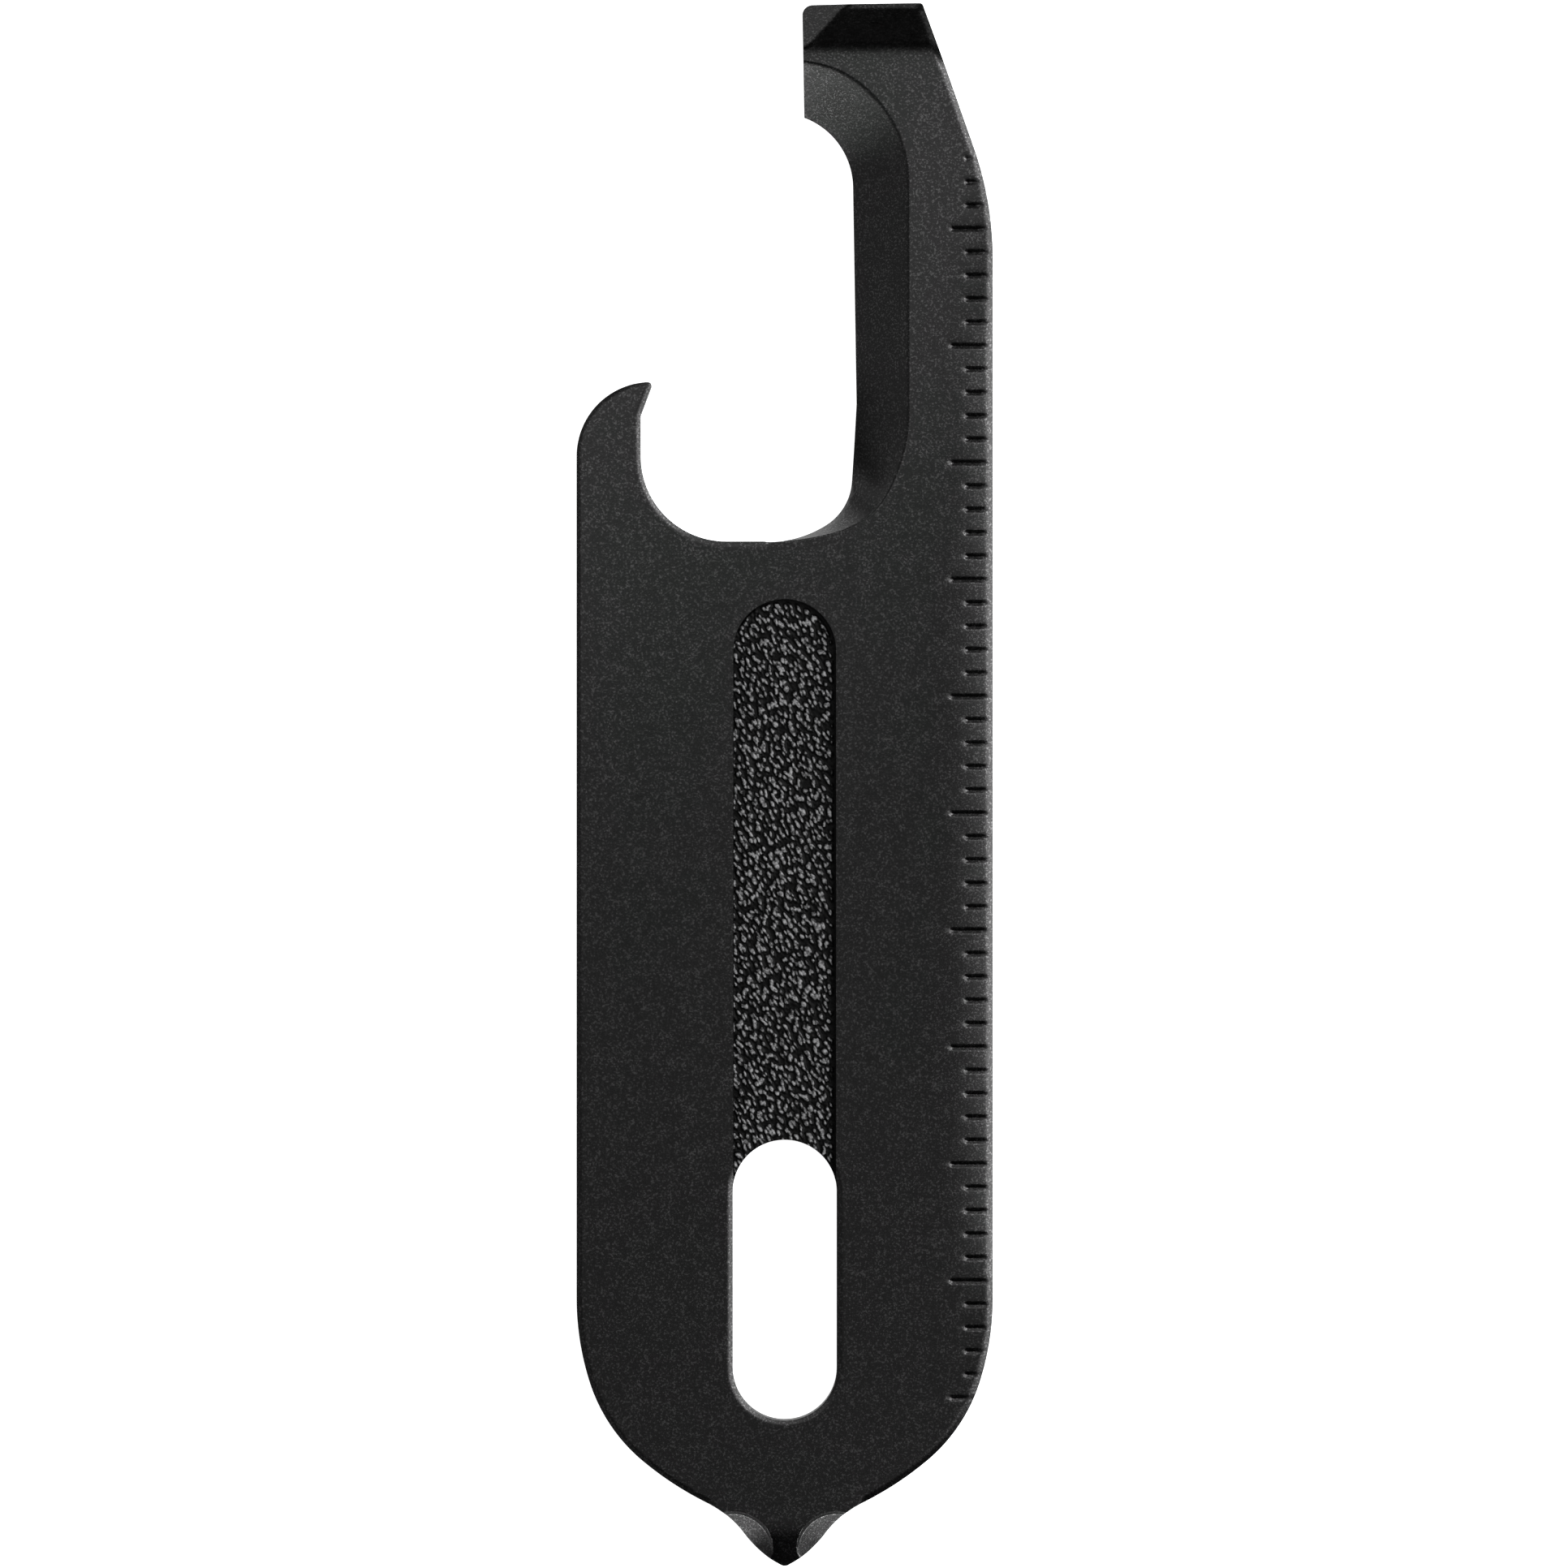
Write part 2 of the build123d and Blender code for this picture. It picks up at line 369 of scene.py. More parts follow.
@dataclass(frozen=True)
class FileGrain(Finish):
    """Coarse grit of the nail file, with painted shade in its hollows and a painted highlight on
    its crowns.

    Attributes:
        hollow: Colour of the hollows, a painted shade.
        crown_highlight: Colour of the crowns, a painted highlight.
        highlight_range: Height of the grain at which the painted highlight starts, and at which it
            is full.
        roughness: Mean roughness.
        ior: Refractive index.
        grit: Features of the fine grit, a millimetre.
        grit_depth: Its depth, in millimetres.
    """

    name: str = "file_grit_and_painted_shade"
    hollow: Colour = (0.0010, 0.0010, 0.0010, 1.0)
    crown_highlight: Colour = (0.260, 0.260, 0.264, 1.0)
    highlight_range: tuple[float, float] = (0.30, 0.95)
    roughness: float = 0.45
    ior: float = 1.18
    grit: float = 9.0
    grit_depth: float = 0.012

    def write(self, graph: Graph) -> None:
        """Writes a painted highlight on the grain's crowns and painted shade in its hollows, set by
        the grain's own height, and a finer grit over it.
        """
        place = self.millimetres(graph)
        height = graph.node("ShaderNodeAttribute", {"attribute_name": GRAIN_HEIGHT}).outputs[2]
        grit = self.noise(graph, place, self.grit, 2.0)
        # Painted light: the higher the grain, the lighter its colour, so the crowns carry a painted
        # highlight and the hollows painted shade.
        painted_highlight = (Signal(graph, height) + 0.5 * (grit - 0.5)).smooth(*self.highlight_range)
        painted_highlight = painted_highlight * (grit.smooth(0.3, 0.7) + 0.25).unit()
        sockets = {
            "Base Color": self.blend(graph, painted_highlight, self.hollow, self.crown_highlight),
            "Roughness": self.roughness + 0.2 * (grit - 0.5),
            "IOR": self.ior,
            "Normal": self.bump(graph, grit, self.grit_depth),
        }
        self.shade(graph, sockets)


@dataclass(frozen=True)
class BondFilm(Finish):
    """Dark adhesive film, faintly mottled.

    Attributes:
        thin: Colour where the film is thin.
        thick: Colour where it is thick.
        roughness: Mean roughness.
        mottle: Features of the mottle, a millimetre.
        mottle_depth: Its depth, in millimetres.
    """

    name: str = "adhesive_film"
    thin: Colour = (0.020, 0.018, 0.015, 1.0)
    thick: Colour = (0.045, 0.040, 0.033, 1.0)
    roughness: float = 0.55
    mottle: float = 2.5
    mottle_depth: float = 0.01

    def write(self, graph: Graph) -> None:
        """Writes the mottle and the film's soft surface."""
        mottle = self.noise(graph, self.millimetres(graph), self.mottle, 4.0)
        sockets = {
            "Base Color": self.blend(graph, mottle, self.thin, self.thick),
            "Roughness": self.roughness + 0.15 * (mottle - 0.5),
            "Normal": self.bump(graph, mottle, self.mottle_depth),
        }
        self.shade(graph, sockets)


# ---------------------------------------------------------------- plan curves


@dataclass(frozen=True)
class Run:
    """A straight run, or an arc of less than half a turn, in plan.

    Attributes:
        start: Where it begins.
        end: Where it stops.
        centre: Centre of the arc, or None for a straight run.
    """

    start: Point
    end: Point
    centre: Point | None = None

    FINE_STEPS = 801
    ROW_MARGIN = 0.02

    def backwards(self) -> "Run":
        """The same run from its end to its start."""
        return Run(self.end, self.start, self.centre)

    def mirrored(self) -> "Run":
        """The same run on the other side of X = 0."""
        centre = self.centre and (-self.centre[0], self.centre[1])
        return Run((-self.start[0], self.start[1]), (-self.end[0], self.end[1]), centre)

    def at(self, fractions: np.ndarray) -> np.ndarray:
        """Points at fractions of the way along.

        Args:
            fractions: Numbers from 0 to 1.

        Returns:
            One row of X and Y for each.
        """
        start, end = np.array(self.start), np.array(self.end)
        if self.centre is None:
            return start + np.outer(fractions, end - start)
        centre = np.array(self.centre)
        first, last = start - centre, end - centre
        turn = math.atan2(first[0] * last[1] - first[1] * last[0], first @ last)
        angles = math.atan2(first[1], first[0]) + turn * fractions
        return centre + np.hypot(*first) * np.column_stack((np.cos(angles), np.sin(angles)))

    def samples(self, step: float, rows: np.ndarray | None = None) -> np.ndarray:
        """Points after the start, up to and including the end.

        Args:
            step: Greatest distance between them.
            rows: Heights that the run must be cut at, instead of evenly, where it passes them.

        Returns:
            One row of X and Y for each.
        """
        fine = np.linspace(0, 1, self.FINE_STEPS)
        path = self.at(fine)
        length = np.hypot(*np.diff(path, axis=0).T).sum()
        count = max(1, math.ceil(length / step))
        fractions = np.arange(1, count + 1) / count
        if rows is not None:
            up = path[-1, 1] > path[0, 1]
            heights, along = (path[:, 1], fine) if up else (path[::-1, 1], fine[::-1])
            margin = self.ROW_MARGIN
            crossed = rows[(rows > heights[0] + margin) & (rows < heights[-1] - margin)]
            even = self.at(fractions)[:, 1]
            clear = (even < rows[0] - margin) | (even > rows[-1] + margin)
            clear[-1] = True
            fractions = np.union1d(fractions[clear], np.interp(crossed, heights, along))
        return self.at(fractions)


def tangent_arcs(start: Point, tangent: Point, knots: Iterable[Point]) -> list[Run]:
    """Arcs through the knots, each leaving the last one smoothly.

    Args:
        start: Where the first arc begins.
        tangent: Its direction there.
        knots: The ends of the arcs, in order.

    Returns:
        The arcs.
    """
    arcs = []
    here, along = np.array(start, float), np.array(tangent, float)
    for knot in knots:
        chord = np.array(knot) - here
        across = np.array((-along[1], along[0]))
        centre = here + across * (chord @ chord) / (2 * chord @ across)
        arcs.append(Run(tuple(here), tuple(knot), tuple(centre)))
        turn = 2 * math.atan2(along[0] * chord[1] - along[1] * chord[0], along @ chord)
        cosine, sine = math.cos(turn), math.sin(turn)
        along = np.array((cosine * along[0] - sine * along[1], sine * along[0] + cosine * along[1]))
        here = np.array(knot, float)
    return arcs


def unit_vectors(vectors: np.ndarray) -> np.ndarray:
    """The vectors at length 1, or 0 where they had none."""
    return vectors / np.maximum(np.hypot(*vectors.T), 1e-9)[:, None]


def search_tree(places: np.ndarray) -> KDTree:
    """A tree that finds the nearest of some places in plan."""
    tree = KDTree(len(places))
    for index, (x, y) in enumerate(places):
        tree.insert((x, y, 0), index)
    tree.balance()
    return tree


class PlanCurve:
    """A chain of points in plan, with the unit vectors to the left of its travel."""

    LONGEST_GAP = 1.0
    OFFSET_SLACK = 0.006

    def __init__(self, points: np.ndarray, closed: bool = False) -> None:
        """Works out the normals and the search tree.

        Args:
            points: One row of X and Y for each point, in order.
            closed: True if the last point leads back to the first. Neighbours further apart
                than LONGEST_GAP are the ends of separate chains.
        """
        self.points = points
        before, after = np.roll(points, 1, 0), np.roll(points, -1, 0)
        if not closed:
            before[0], after[-1] = points[0], points[-1]
        for others in (before, after):
            broken = np.hypot(*(others - points).T) > self.LONGEST_GAP
            others[broken] = points[broken]
        self.gaps = np.maximum(np.hypot(*(points - before).T), np.hypot(*(after - points).T)) / 2
        arriving, leaving = unit_vectors(points - before), unit_vectors(after - points)
        self.tangents = unit_vectors(arriving + leaving)
        self.normals = np.column_stack((-self.tangents[:, 1], self.tangents[:, 0]))
        self.tree = search_tree(points)

    def nearest(self, places: np.ndarray) -> np.ndarray:
        """Index of the curve's point nearest to each place."""
        return np.array([self.tree.find((x, y, 0))[1] for x, y in places], int)

    def distance(self, places: np.ndarray) -> np.ndarray:
        """Distance of each place from the curve, positive to the left of its travel."""
        index = self.nearest(places)
        offset = places - self.points[index]
        across = (offset * self.normals[index]).sum(1)
        along = np.abs((offset * self.tangents[index]).sum(1))
        past = np.maximum(along - self.gaps[index], 0)
        return np.where(across < 0, -1, 1) * np.hypot(across, past)

    def offset(
        self, distances: Iterable[float], chosen: np.ndarray | None = None
    ) -> list[np.ndarray]:
        """Rows of points beside the curve, one row for each distance to its left.

        Args:
            distances: How far out each row lies.
            chosen: Which of the curve's points take part, or None for all.

        Returns:
            The rows, without points that come nearer to another part of the curve.
        """
        picked = slice(None) if chosen is None else chosen
        rows = []
        for distance in distances:
            row = self.points[picked] + distance * self.normals[picked]
            clear = np.abs(self.distance(row)) > abs(distance) - self.OFFSET_SLACK
            rows.append(row[clear])
        return rows


def soft_min(first: np.ndarray, second: np.ndarray, blend: float) -> np.ndarray:
    """The lower of two heights, with a rounded change from one to the other.

    Args:
        first: Heights.
        second: Other heights.
        blend: Difference in height below which the two run together.

    Returns:
        The blended heights, never above the lower one.
    """
    share = np.clip(0.5 + 0.5 * (second - first) / blend, 0, 1)
    return second + (first - second) * share - blend * share * (1 - share)


# ---------------------------------------------------------------- meshes


class Seeds:
    """Plan points for the mesh of a face, each group kept clear of those before it."""

    def __init__(self, border: np.ndarray) -> None:
        """Starts with the points of the face's borders."""
        self.groups = [border]

    def add(self, places: np.ndarray, clearance: float) -> None:
        """Adds the places that are clear of every earlier point.

        Args:
            places: One row of X and Y for each.
            clearance: Least distance from an earlier point.
        """
        tree = search_tree(np.vstack(self.groups))
        free = [tree.find((x, y, 0))[2] >= clearance for x, y in places]
        self.groups.append(places[np.array(free, bool)])

    def inside(self) -> np.ndarray:
        """All the points but the borders'."""
        return np.vstack(self.groups[1:])


@dataclass(frozen=True)
class Level:
    """The height of a flat face."""

    z: float

    def __call__(self, places: np.ndarray) -> np.ndarray:
        """Z of the face at each place."""
        return np.full(len(places), self.z)


class Shell:
    """Faces of a closed body, gathered patch by patch and wall by wall."""

    MERGE_DISTANCE = 0.0015

    def __init__(self) -> None:
        """Starts empty."""
        self.vertices: list[tuple[float, float, float]] = []
        self.faces: list[tuple[int, ...]] = []

    def patch(
        self,
        border: np.ndarray,
        hole: np.ndarray | None,
        seeds: np.ndarray,
        height: Height,
        upwards: bool,
    ) -> None:
        """Adds a face that is a height over its plan.

        Args:
            border: The outer loop, anticlockwise.
            hole: The loop of a hole in it, anticlockwise, or None.
            seeds: Points inside.
            height: Gives Z for points in plan.
            upwards: True if the face looks up.
        """
        loops = [border] if hole is None else [border, hole]
        ends = np.cumsum([len(loop) for loop in loops])
        indices = [list(range(end - len(loop), end)) for loop, end in zip(loops, ends)]
        plan = [Vector(place) for place in np.vstack([*loops, seeds])]
        made = delaunay_2d_cdt(plan, [], indices, 2, 1e-6, True)
        kept = [face for face, source in zip(made[2], made[5]) if list(source) == [0]]
        places = np.array([tuple(place) for place in made[0]])
        first = len(self.vertices)
        self.vertices += [tuple(p) for p in np.column_stack((places, height(places)))]
        order = 1 if upwards else -1
        self.faces += [tuple(first + corner for corner in face[::order]) for face in kept]

    def wall(
        self,
        plan: np.ndarray,
        low: np.ndarray,
        high: np.ndarray,
        side: Side,
        knees: dict[int, float] | None = None,
    ) -> None:
        """Adds an upright wall along a chain of points, anticlockwise round its loop.

        Args:
            plan: The chain, with its first point again at the end if it is a loop.
            low: Z of its foot at each point.
            high: Z of its top at each point.
            side: Whether the wall looks out of the loop or into it.
            knees: Heights of extra corners in the wall's end edges, by point.
        """
        count = len(plan)
        first = len(self.vertices)
        self.vertices += [tuple(p) for p in np.column_stack((plan, low))]
        self.vertices += [tuple(p) for p in np.column_stack((plan, high))]
        extra = {}
        for index, height in (knees or {}).items():
            extra[index] = len(self.vertices)
            self.vertices.append((*plan[index], height))
        for here in range(count - 1):
            there = here + 1
            face = [first + here, first + there]
            face += [extra[there]] if there in extra else []
            face += [first + count + there, first + count + here]
            face += [extra[here]] if here in extra else []
            self.faces.append(tuple(face[:: side.value]))

    def mesh(self, name: str) -> bpy.types.Mesh:
        """Joins what was gathered into a mesh in metres, with its doubles merged."""
        made = bpy.data.meshes.new(name)
        made.from_pydata((np.array(self.vertices) * MM).tolist(), [], self.faces)
        joined = bmesh.new()
        joined.from_mesh(made)
        bmesh.ops.remove_doubles(joined, verts=joined.verts, dist=self.MERGE_DISTANCE * MM)
        loose = [vertex for vertex in joined.verts if not vertex.link_faces]
        bmesh.ops.delete(joined, geom=loose, context="VERTS")
        open_edges = sum(not edge.is_manifold for edge in joined.edges)
        joined.to_mesh(made)
        joined.free()
        LOG.info("%s: %d faces, %d open edges", name, len(made.polygons), open_edges)
        return made


def grid(low: Point, high: Point, step: float) -> np.ndarray:
    """Points of a square grid over a rectangle.

    Args:
        low: Its lower left corner.
        high: Its upper right corner.
        step: Distance between the points.

    Returns:
        One row of X and Y for each.
    """
    across = np.arange(low[0], high[0], step)
    along = np.arange(low[1], high[1], step)
    return np.array(np.meshgrid(across, along)).reshape(2, -1).T


def place_in_scene(name: str, data: bpy.types.ID) -> bpy.types.Object:
    """Makes an object of a mesh, a light or a camera, at the origin."""
    made = bpy.data.objects.new(name, data)
    bpy.context.scene.collection.objects.link(made)
    return made


def bake_nodes(piece: bpy.types.Object, tree: bpy.types.NodeTree, inputs: dict[str, Any]) -> None:
    """Runs a geometry tree on a piece and keeps the result as its plain mesh.

    Args:
        piece: The object to work on.
        tree: The geometry tree.
        inputs: Values for the tree's named inputs.
    """
    modifier = piece.modifiers.new("nodes", "NODES")
    modifier.node_group = tree
    sockets = {item.name: item.identifier for item in tree.interface.items_tree}
    for name, value in inputs.items():
        modifier[sockets[name]] = value
    evaluated = piece.evaluated_get(bpy.context.evaluated_depsgraph_get())
    baked = bpy.data.meshes.new_from_object(evaluated)
    piece.modifiers.clear()
    piece.data = baked


def smooth_by_angle(piece: bpy.types.Object, degrees: float) -> None:
    """Smooths a piece, but keeps the edges sharp that turn by more than this."""
    piece.data.shade_smooth()
    piece.data.set_sharp_from_angle(angle=math.radians(degrees))


def new_tree(name: str, inputs: dict[str, Any]) -> tuple[Graph, dict[str, Any]]:
    """Starts a geometry tree.

    Args:
        name: Its name.
        inputs: Value of each named input, whose type makes the socket's.

    Returns:
        The graph, and the output socket of each input by its name.
    """
    kinds = {
        float: "NodeSocketFloat",
        int: "NodeSocketInt",
        bpy.types.Material: "NodeSocketMaterial",
    }
    tree = bpy.data.node_groups.new(name, "GeometryNodeTree")
    for way in ("INPUT", "OUTPUT"):
        tree.interface.new_socket("Geometry", in_out=way, socket_type="NodeSocketGeometry")
    for label, value in inputs.items():
        tree.interface.new_socket(label, in_out="INPUT", socket_type=kinds[type(value)])
    graph = Graph(tree)
    source = graph.node("NodeGroupInput")
    taken = {"Geometry": source.outputs["Geometry"]}
    for label, value in inputs.items():
        output = source.outputs[label]
        taken[label] = Signal(graph, output) if isinstance(value, (float, int)) else output
    return graph, taken


def end_tree(graph: Graph, geometry: Any, material: bpy.types.NodeSocket) -> bpy.types.NodeTree:
    """Ends a geometry tree in Realize Instances and Set Material.

    Args:
        graph: The tree's graph.
        geometry: The finished geometry.
        material: Socket of the material input.

    Returns:
        The tree.
    """
    real = graph.node("GeometryNodeRealizeInstances", {}, {0: geometry}).outputs[0]
    sockets = {"Geometry": real, "Material": material}
    dressed = graph.node("GeometryNodeSetMaterial", {}, sockets).outputs[0]
    graph.node("NodeGroupOutput", {}, {0: dressed})
    return graph.tree


# ---------------------------------------------------------------- the tool


@dataclass
class EdgeRuler:
    """Grooves along the right-hand edge: one a millimetre, and a longer one every fifth."""

    first_y: float = -26.27
    pitch: float = 1.0
    count: int = 54
    ticks_per_long: int = 5
    short_x: float = 7.80
    long_x: float = 7.17
    half_width: float = 0.15
    depth: float = 0.050
    shoulder: float = 0.42
    shoulder_depth: float = 0.022
    edge_fade: float = 0.46
    offsets: tuple[float, ...] = (0.0, 0.04, 0.08, 0.115, 0.15, 0.195, 0.26, 0.36)

    def rows(self) -> np.ndarray:
        """Heights where the plate's mesh is cut, so that each groove is well shaped."""
        ticks = self.first_y + self.pitch * np.arange(self.count)
        offsets = np.union1d(self.offsets, [-offset for offset in self.offsets])
        return np.sort(np.add.outer(ticks, offsets).ravel())

    def columns(self) -> np.ndarray:
        """Places across the tool where the mesh is cut, close together at the grooves' ends."""
        ends = [
            start + step
            for start in (self.long_x, self.short_x)
            for step in (-0.15, -0.1, -0.05, 0, 0.06)
        ]
        return np.union1d(ends, [6.80, 7.36, 7.50, 7.98, 8.12, 8.26, 8.40, 8.52])

    def tree(self, inputs: dict[str, Any]) -> bpy.types.NodeTree:
        """Geometry tree that presses the grooves into the front face.

        Args:
            inputs: Values of its named inputs.

        Returns:
            The tree.
        """
        graph, given = new_tree("ruler_grooves", inputs)
        place = graph.node("GeometryNodeInputPosition").outputs[0]
        x, y, z = (graph.part(place, axis) for axis in Axis)
        number = ((y - given["First Y"]) / given["Pitch"]).rounded()
        number = number.at_least(0.0).at_most(given["Count"] - 1.0)
        beside = abs(y - (given["First Y"] + number * given["Pitch"]))
        is_long = (number % given["Ticks Per Long"]) < 0.5
        reach = given["Long Start X"] - given["Short Start X"]
        short_of = (given["Short Start X"] + is_long * reach - x).at_least(0.0)
        away = (beside.squared() + short_of.squared()).root()
        groove = given["Depth"] * (1.0 - away / given["Half Width"]).unit()
        flank = given["Shoulder Depth"] * (1.0 - away / given["Shoulder"]).unit().squared()
        settings = {"data_type": "FLOAT"}
        named = graph.node("GeometryNodeInputNamedAttribute", settings, {"Name": EDGE_DISTANCE})
        edge = Signal(graph, named.outputs[0])
        # Shallow over the first three eighths of the fade, then rising to the full depth.
        fade = 0.12 + 0.88 * (1.6 * (edge / given["Edge Fade"]) - 0.6).unit()
        sunk = (groove + flank) * fade * (z > given["Above Z"])
        sockets = {"Geometry": given["Geometry"], "Offset": graph.vector(0.0, 0.0, 0.0 - sunk)}
        pressed = graph.node("GeometryNodeSetPosition", {}, sockets).outputs[0]
        return end_tree(graph, pressed, given["Material"])

    def press(self, plate: bpy.types.Object, above_z: float, material: bpy.types.Material) -> None:
        """Presses the grooves into a plate.

        Args:
            plate: The plate, with its distance from the ruler edge stored as edge_distance.
            above_z: Height above which a point belongs to the front face.
            material: The plate's material.
        """
        inputs = {
            "First Y": self.first_y * MM,
            "Pitch": self.pitch * MM,
            "Count": self.count,
            "Ticks Per Long": self.ticks_per_long,
            "Short Start X": self.short_x * MM,
            "Long Start X": self.long_x * MM,
            "Half Width": self.half_width * MM,
            "Depth": self.depth * MM,
            "Shoulder": self.shoulder * MM,
            "Shoulder Depth": self.shoulder_depth * MM,
            "Edge Fade": self.edge_fade * MM,
            "Above Z": above_z * MM,
            "Material": material,
        }
        bake_nodes(plate, self.tree(inputs), inputs)


@dataclass
class OpenerMouth:
    """The mouth between the claw and the bevelled lip."""

    claw_centre_y: float = 14.02
    claw_corner: Point = (-5.635, 17.189)
    claw_tip_radius: float = 0.18
    claw_notch: Point = (-6.17, 15.77)
    radius: float = 3.68
    floor_y: float = 10.37
    floor_end_x: float = -0.76
    lip_thickness: float = 0.3
    lip_bend: tuple[Point, ...] = ((1.75, 11.08), (2.88, 12.95), (3.08, 16.3))
    lip_centre: Point = (-0.30, 25.54)
    lip_radius: float = 3.23
    arm_end_x: float = 0.84
    crest_bend: tuple[Point, ...] = ((2.45, 10.85), (4.38, 12.40), (5.31, 15.6))
    crest_centre: Point = (0.04, 25.75)
    crest_radius: float = 5.27
    crest_end_x: float = -0.30
    crest_blend: float = 0.075

    def _side(
        self, bend: tuple[Point, ...], centre: Point, radius: float, end_x: float
    ) -> list[Run]:
        """Right-hand side of the mouth, from its floor up and over to end_x."""
        end_y = centre[1] + math.sqrt(radius**2 - (end_x - centre[0]) ** 2)
        right = (centre[0] + radius, centre[1])
        arcs = tangent_arcs((self.floor_end_x, self.floor_y), (1, 0), bend)
        return [*arcs, Run(bend[-1], right), Run(right, (end_x, end_y), centre)]

    def lip(self) -> list[Run]:
        """Plan of the lip's edge, from the floor to the end of the arm."""
        return self._side(self.lip_bend, self.lip_centre, self.lip_radius, self.arm_end_x)

    def crest(self) -> list[Run]:
        """Plan of the bevel's crest, from the floor to past the end of the arm."""
        return self._side(self.crest_bend, self.crest_centre, self.crest_radius, self.crest_end_x)

    def throat(self) -> list[Run]:
        """Plan from the lip's lower end across the floor and up to the claw's corner."""
        left = (self.claw_notch[0], self.floor_y + self.radius)
        low = (self.claw_notch[0] + self.radius, self.floor_y)
        centre = (low[0], left[1])
        return [
            Run((self.floor_end_x, self.floor_y), low),
            Run(low, left, centre),
            Run(left, self.claw_notch),
            Run(self.claw_notch, self.claw_corner),
        ]


@dataclass
class BladeEnd:
    """The flat screwdriver blade: a ramp blended into the face, with one corner bevelled off."""

    side: Point = (0.76, 32.98)
    top: Point = (1.15, 33.38)
    left_corner_radius: float = 0.45
    right_corner_radius: float = 0.15
    blend_low_y: float = 30.52
    blend_high_y: float = 31.78
    ramp_high_y: float = 33.17
    ramp_angle: float = 32.0
    land_slope: float = 0.33
    land_blend: float = 0.03
    facet_top_x: float = 2.40
    facet_trace: float = 0.894
    facet_cross_slope: float = 0.3
    facet_blend: float = 0.035

    def left_corner(self) -> Run:
        """Arc of the blade's left corner, from its top to its side."""
        top, side = np.array(self.top), np.array(self.side)
        chord = side - top
        half = np.hypot(*chord) / 2
        across = np.array((-chord[1], chord[0])) / (2 * half)
        centre = (top + side) / 2 + across * math.sqrt(self.left_corner_radius**2 - half**2)
        return Run(self.top, self.side, tuple(centre))

    def slope(self) -> float:
        """Fall of the ramp for each unit along it."""
        return math.tan(math.radians(self.ramp_angle))

    def tip_height(self, thickness: float) -> float:
        """Thickness that the ramp leaves at the end of the blade."""
        run = self.blend_high_y - self.blend_low_y
        drop = run * math.tan(math.radians(self.ramp_angle / 2))
        return thickness - drop - (self.ramp_high_y - self.blend_high_y) * self.slope()

    def height(self, places: np.ndarray, thickness: float) -> np.ndarray:
        """Height of the blade's front.

        Args:
            places: Points in plan.
            thickness: The plate's.

        Returns:
            Z for each, the plate's thickness where the blade doesn't reach.
        """
        x, y = places.T
        tip = self.tip_height(thickness)
        radius = (self.blend_high_y - self.blend_low_y) / math.sin(math.radians(self.ramp_angle))
        run = np.clip(y - self.blend_low_y, 0, self.blend_high_y - self.blend_low_y)
        bend = thickness - radius + np.sqrt(radius**2 - run**2)
        ramp = bend - np.maximum(y - self.blend_high_y, 0) * self.slope()
        land = tip - self.land_slope * np.maximum(y - self.ramp_high_y, 0)
        ramp = -soft_min(-ramp, -land, self.land_blend)
        cross = self.facet_cross_slope
        fall = self.slope() + self.facet_trace * cross
        facet = tip + cross * (x - self.facet_top_x) - fall * (y - self.ramp_high_y)
        return soft_min(ramp, facet, self.facet_blend)


@dataclass
class CrossTip:
    """The cross-point tip: two hollows on each face and a nose that slopes between them."""

    centre: Point = (2.22, -32.89)
    radius: float = 1.8
    depth: float = 0.30
    draft: float = 0.12
    tilt: float = 37.0
    nose_y: float = -32.06
    nose_end_y: float = -33.45
    nose_drop: float = 0.50
    nose_blend: float = 0.22
    rim_blend: float = 0.06
    top_y: float = -29.5

    def drop(self, places: np.ndarray) -> np.ndarray:
        """How far the tip's surface lies below the face.

        Args:
            places: Points in plan.

        Returns:
            The drop at each, 0 away from the tip.
        """
        x, y = np.abs(places[:, 0]), places[:, 1]
        nose = -self.nose_drop * (self.nose_y - y) / (self.nose_y - self.nose_end_y)
        level = soft_min(np.zeros_like(x), nose, self.nose_blend)
        reach = np.hypot(x - self.centre[0], y - self.centre[1])
        inward = self.radius - self.draft - reach
        floor = -self.depth - math.tan(math.radians(self.tilt)) * np.maximum(inward, 0)
        bowl = floor + np.maximum(-inward, 0) * self.depth / self.draft
        return -soft_min(level, bowl, self.rim_blend)

    def rings(self) -> np.ndarray:
        """Points close together round both hollows' walls."""
        foot = self.radius - self.draft
        radii = foot + np.append(np.linspace(-0.12, 0.17, 9), (0.2, 0.25, 0.32))
        angles = np.radians(np.arange(0, 360, 2.6))
        around = np.multiply.outer(radii, np.column_stack((np.cos(angles), np.sin(angles))))
        right = around.reshape(-1, 2) + self.centre
        return np.vstack((right, right * (-1, 1)))


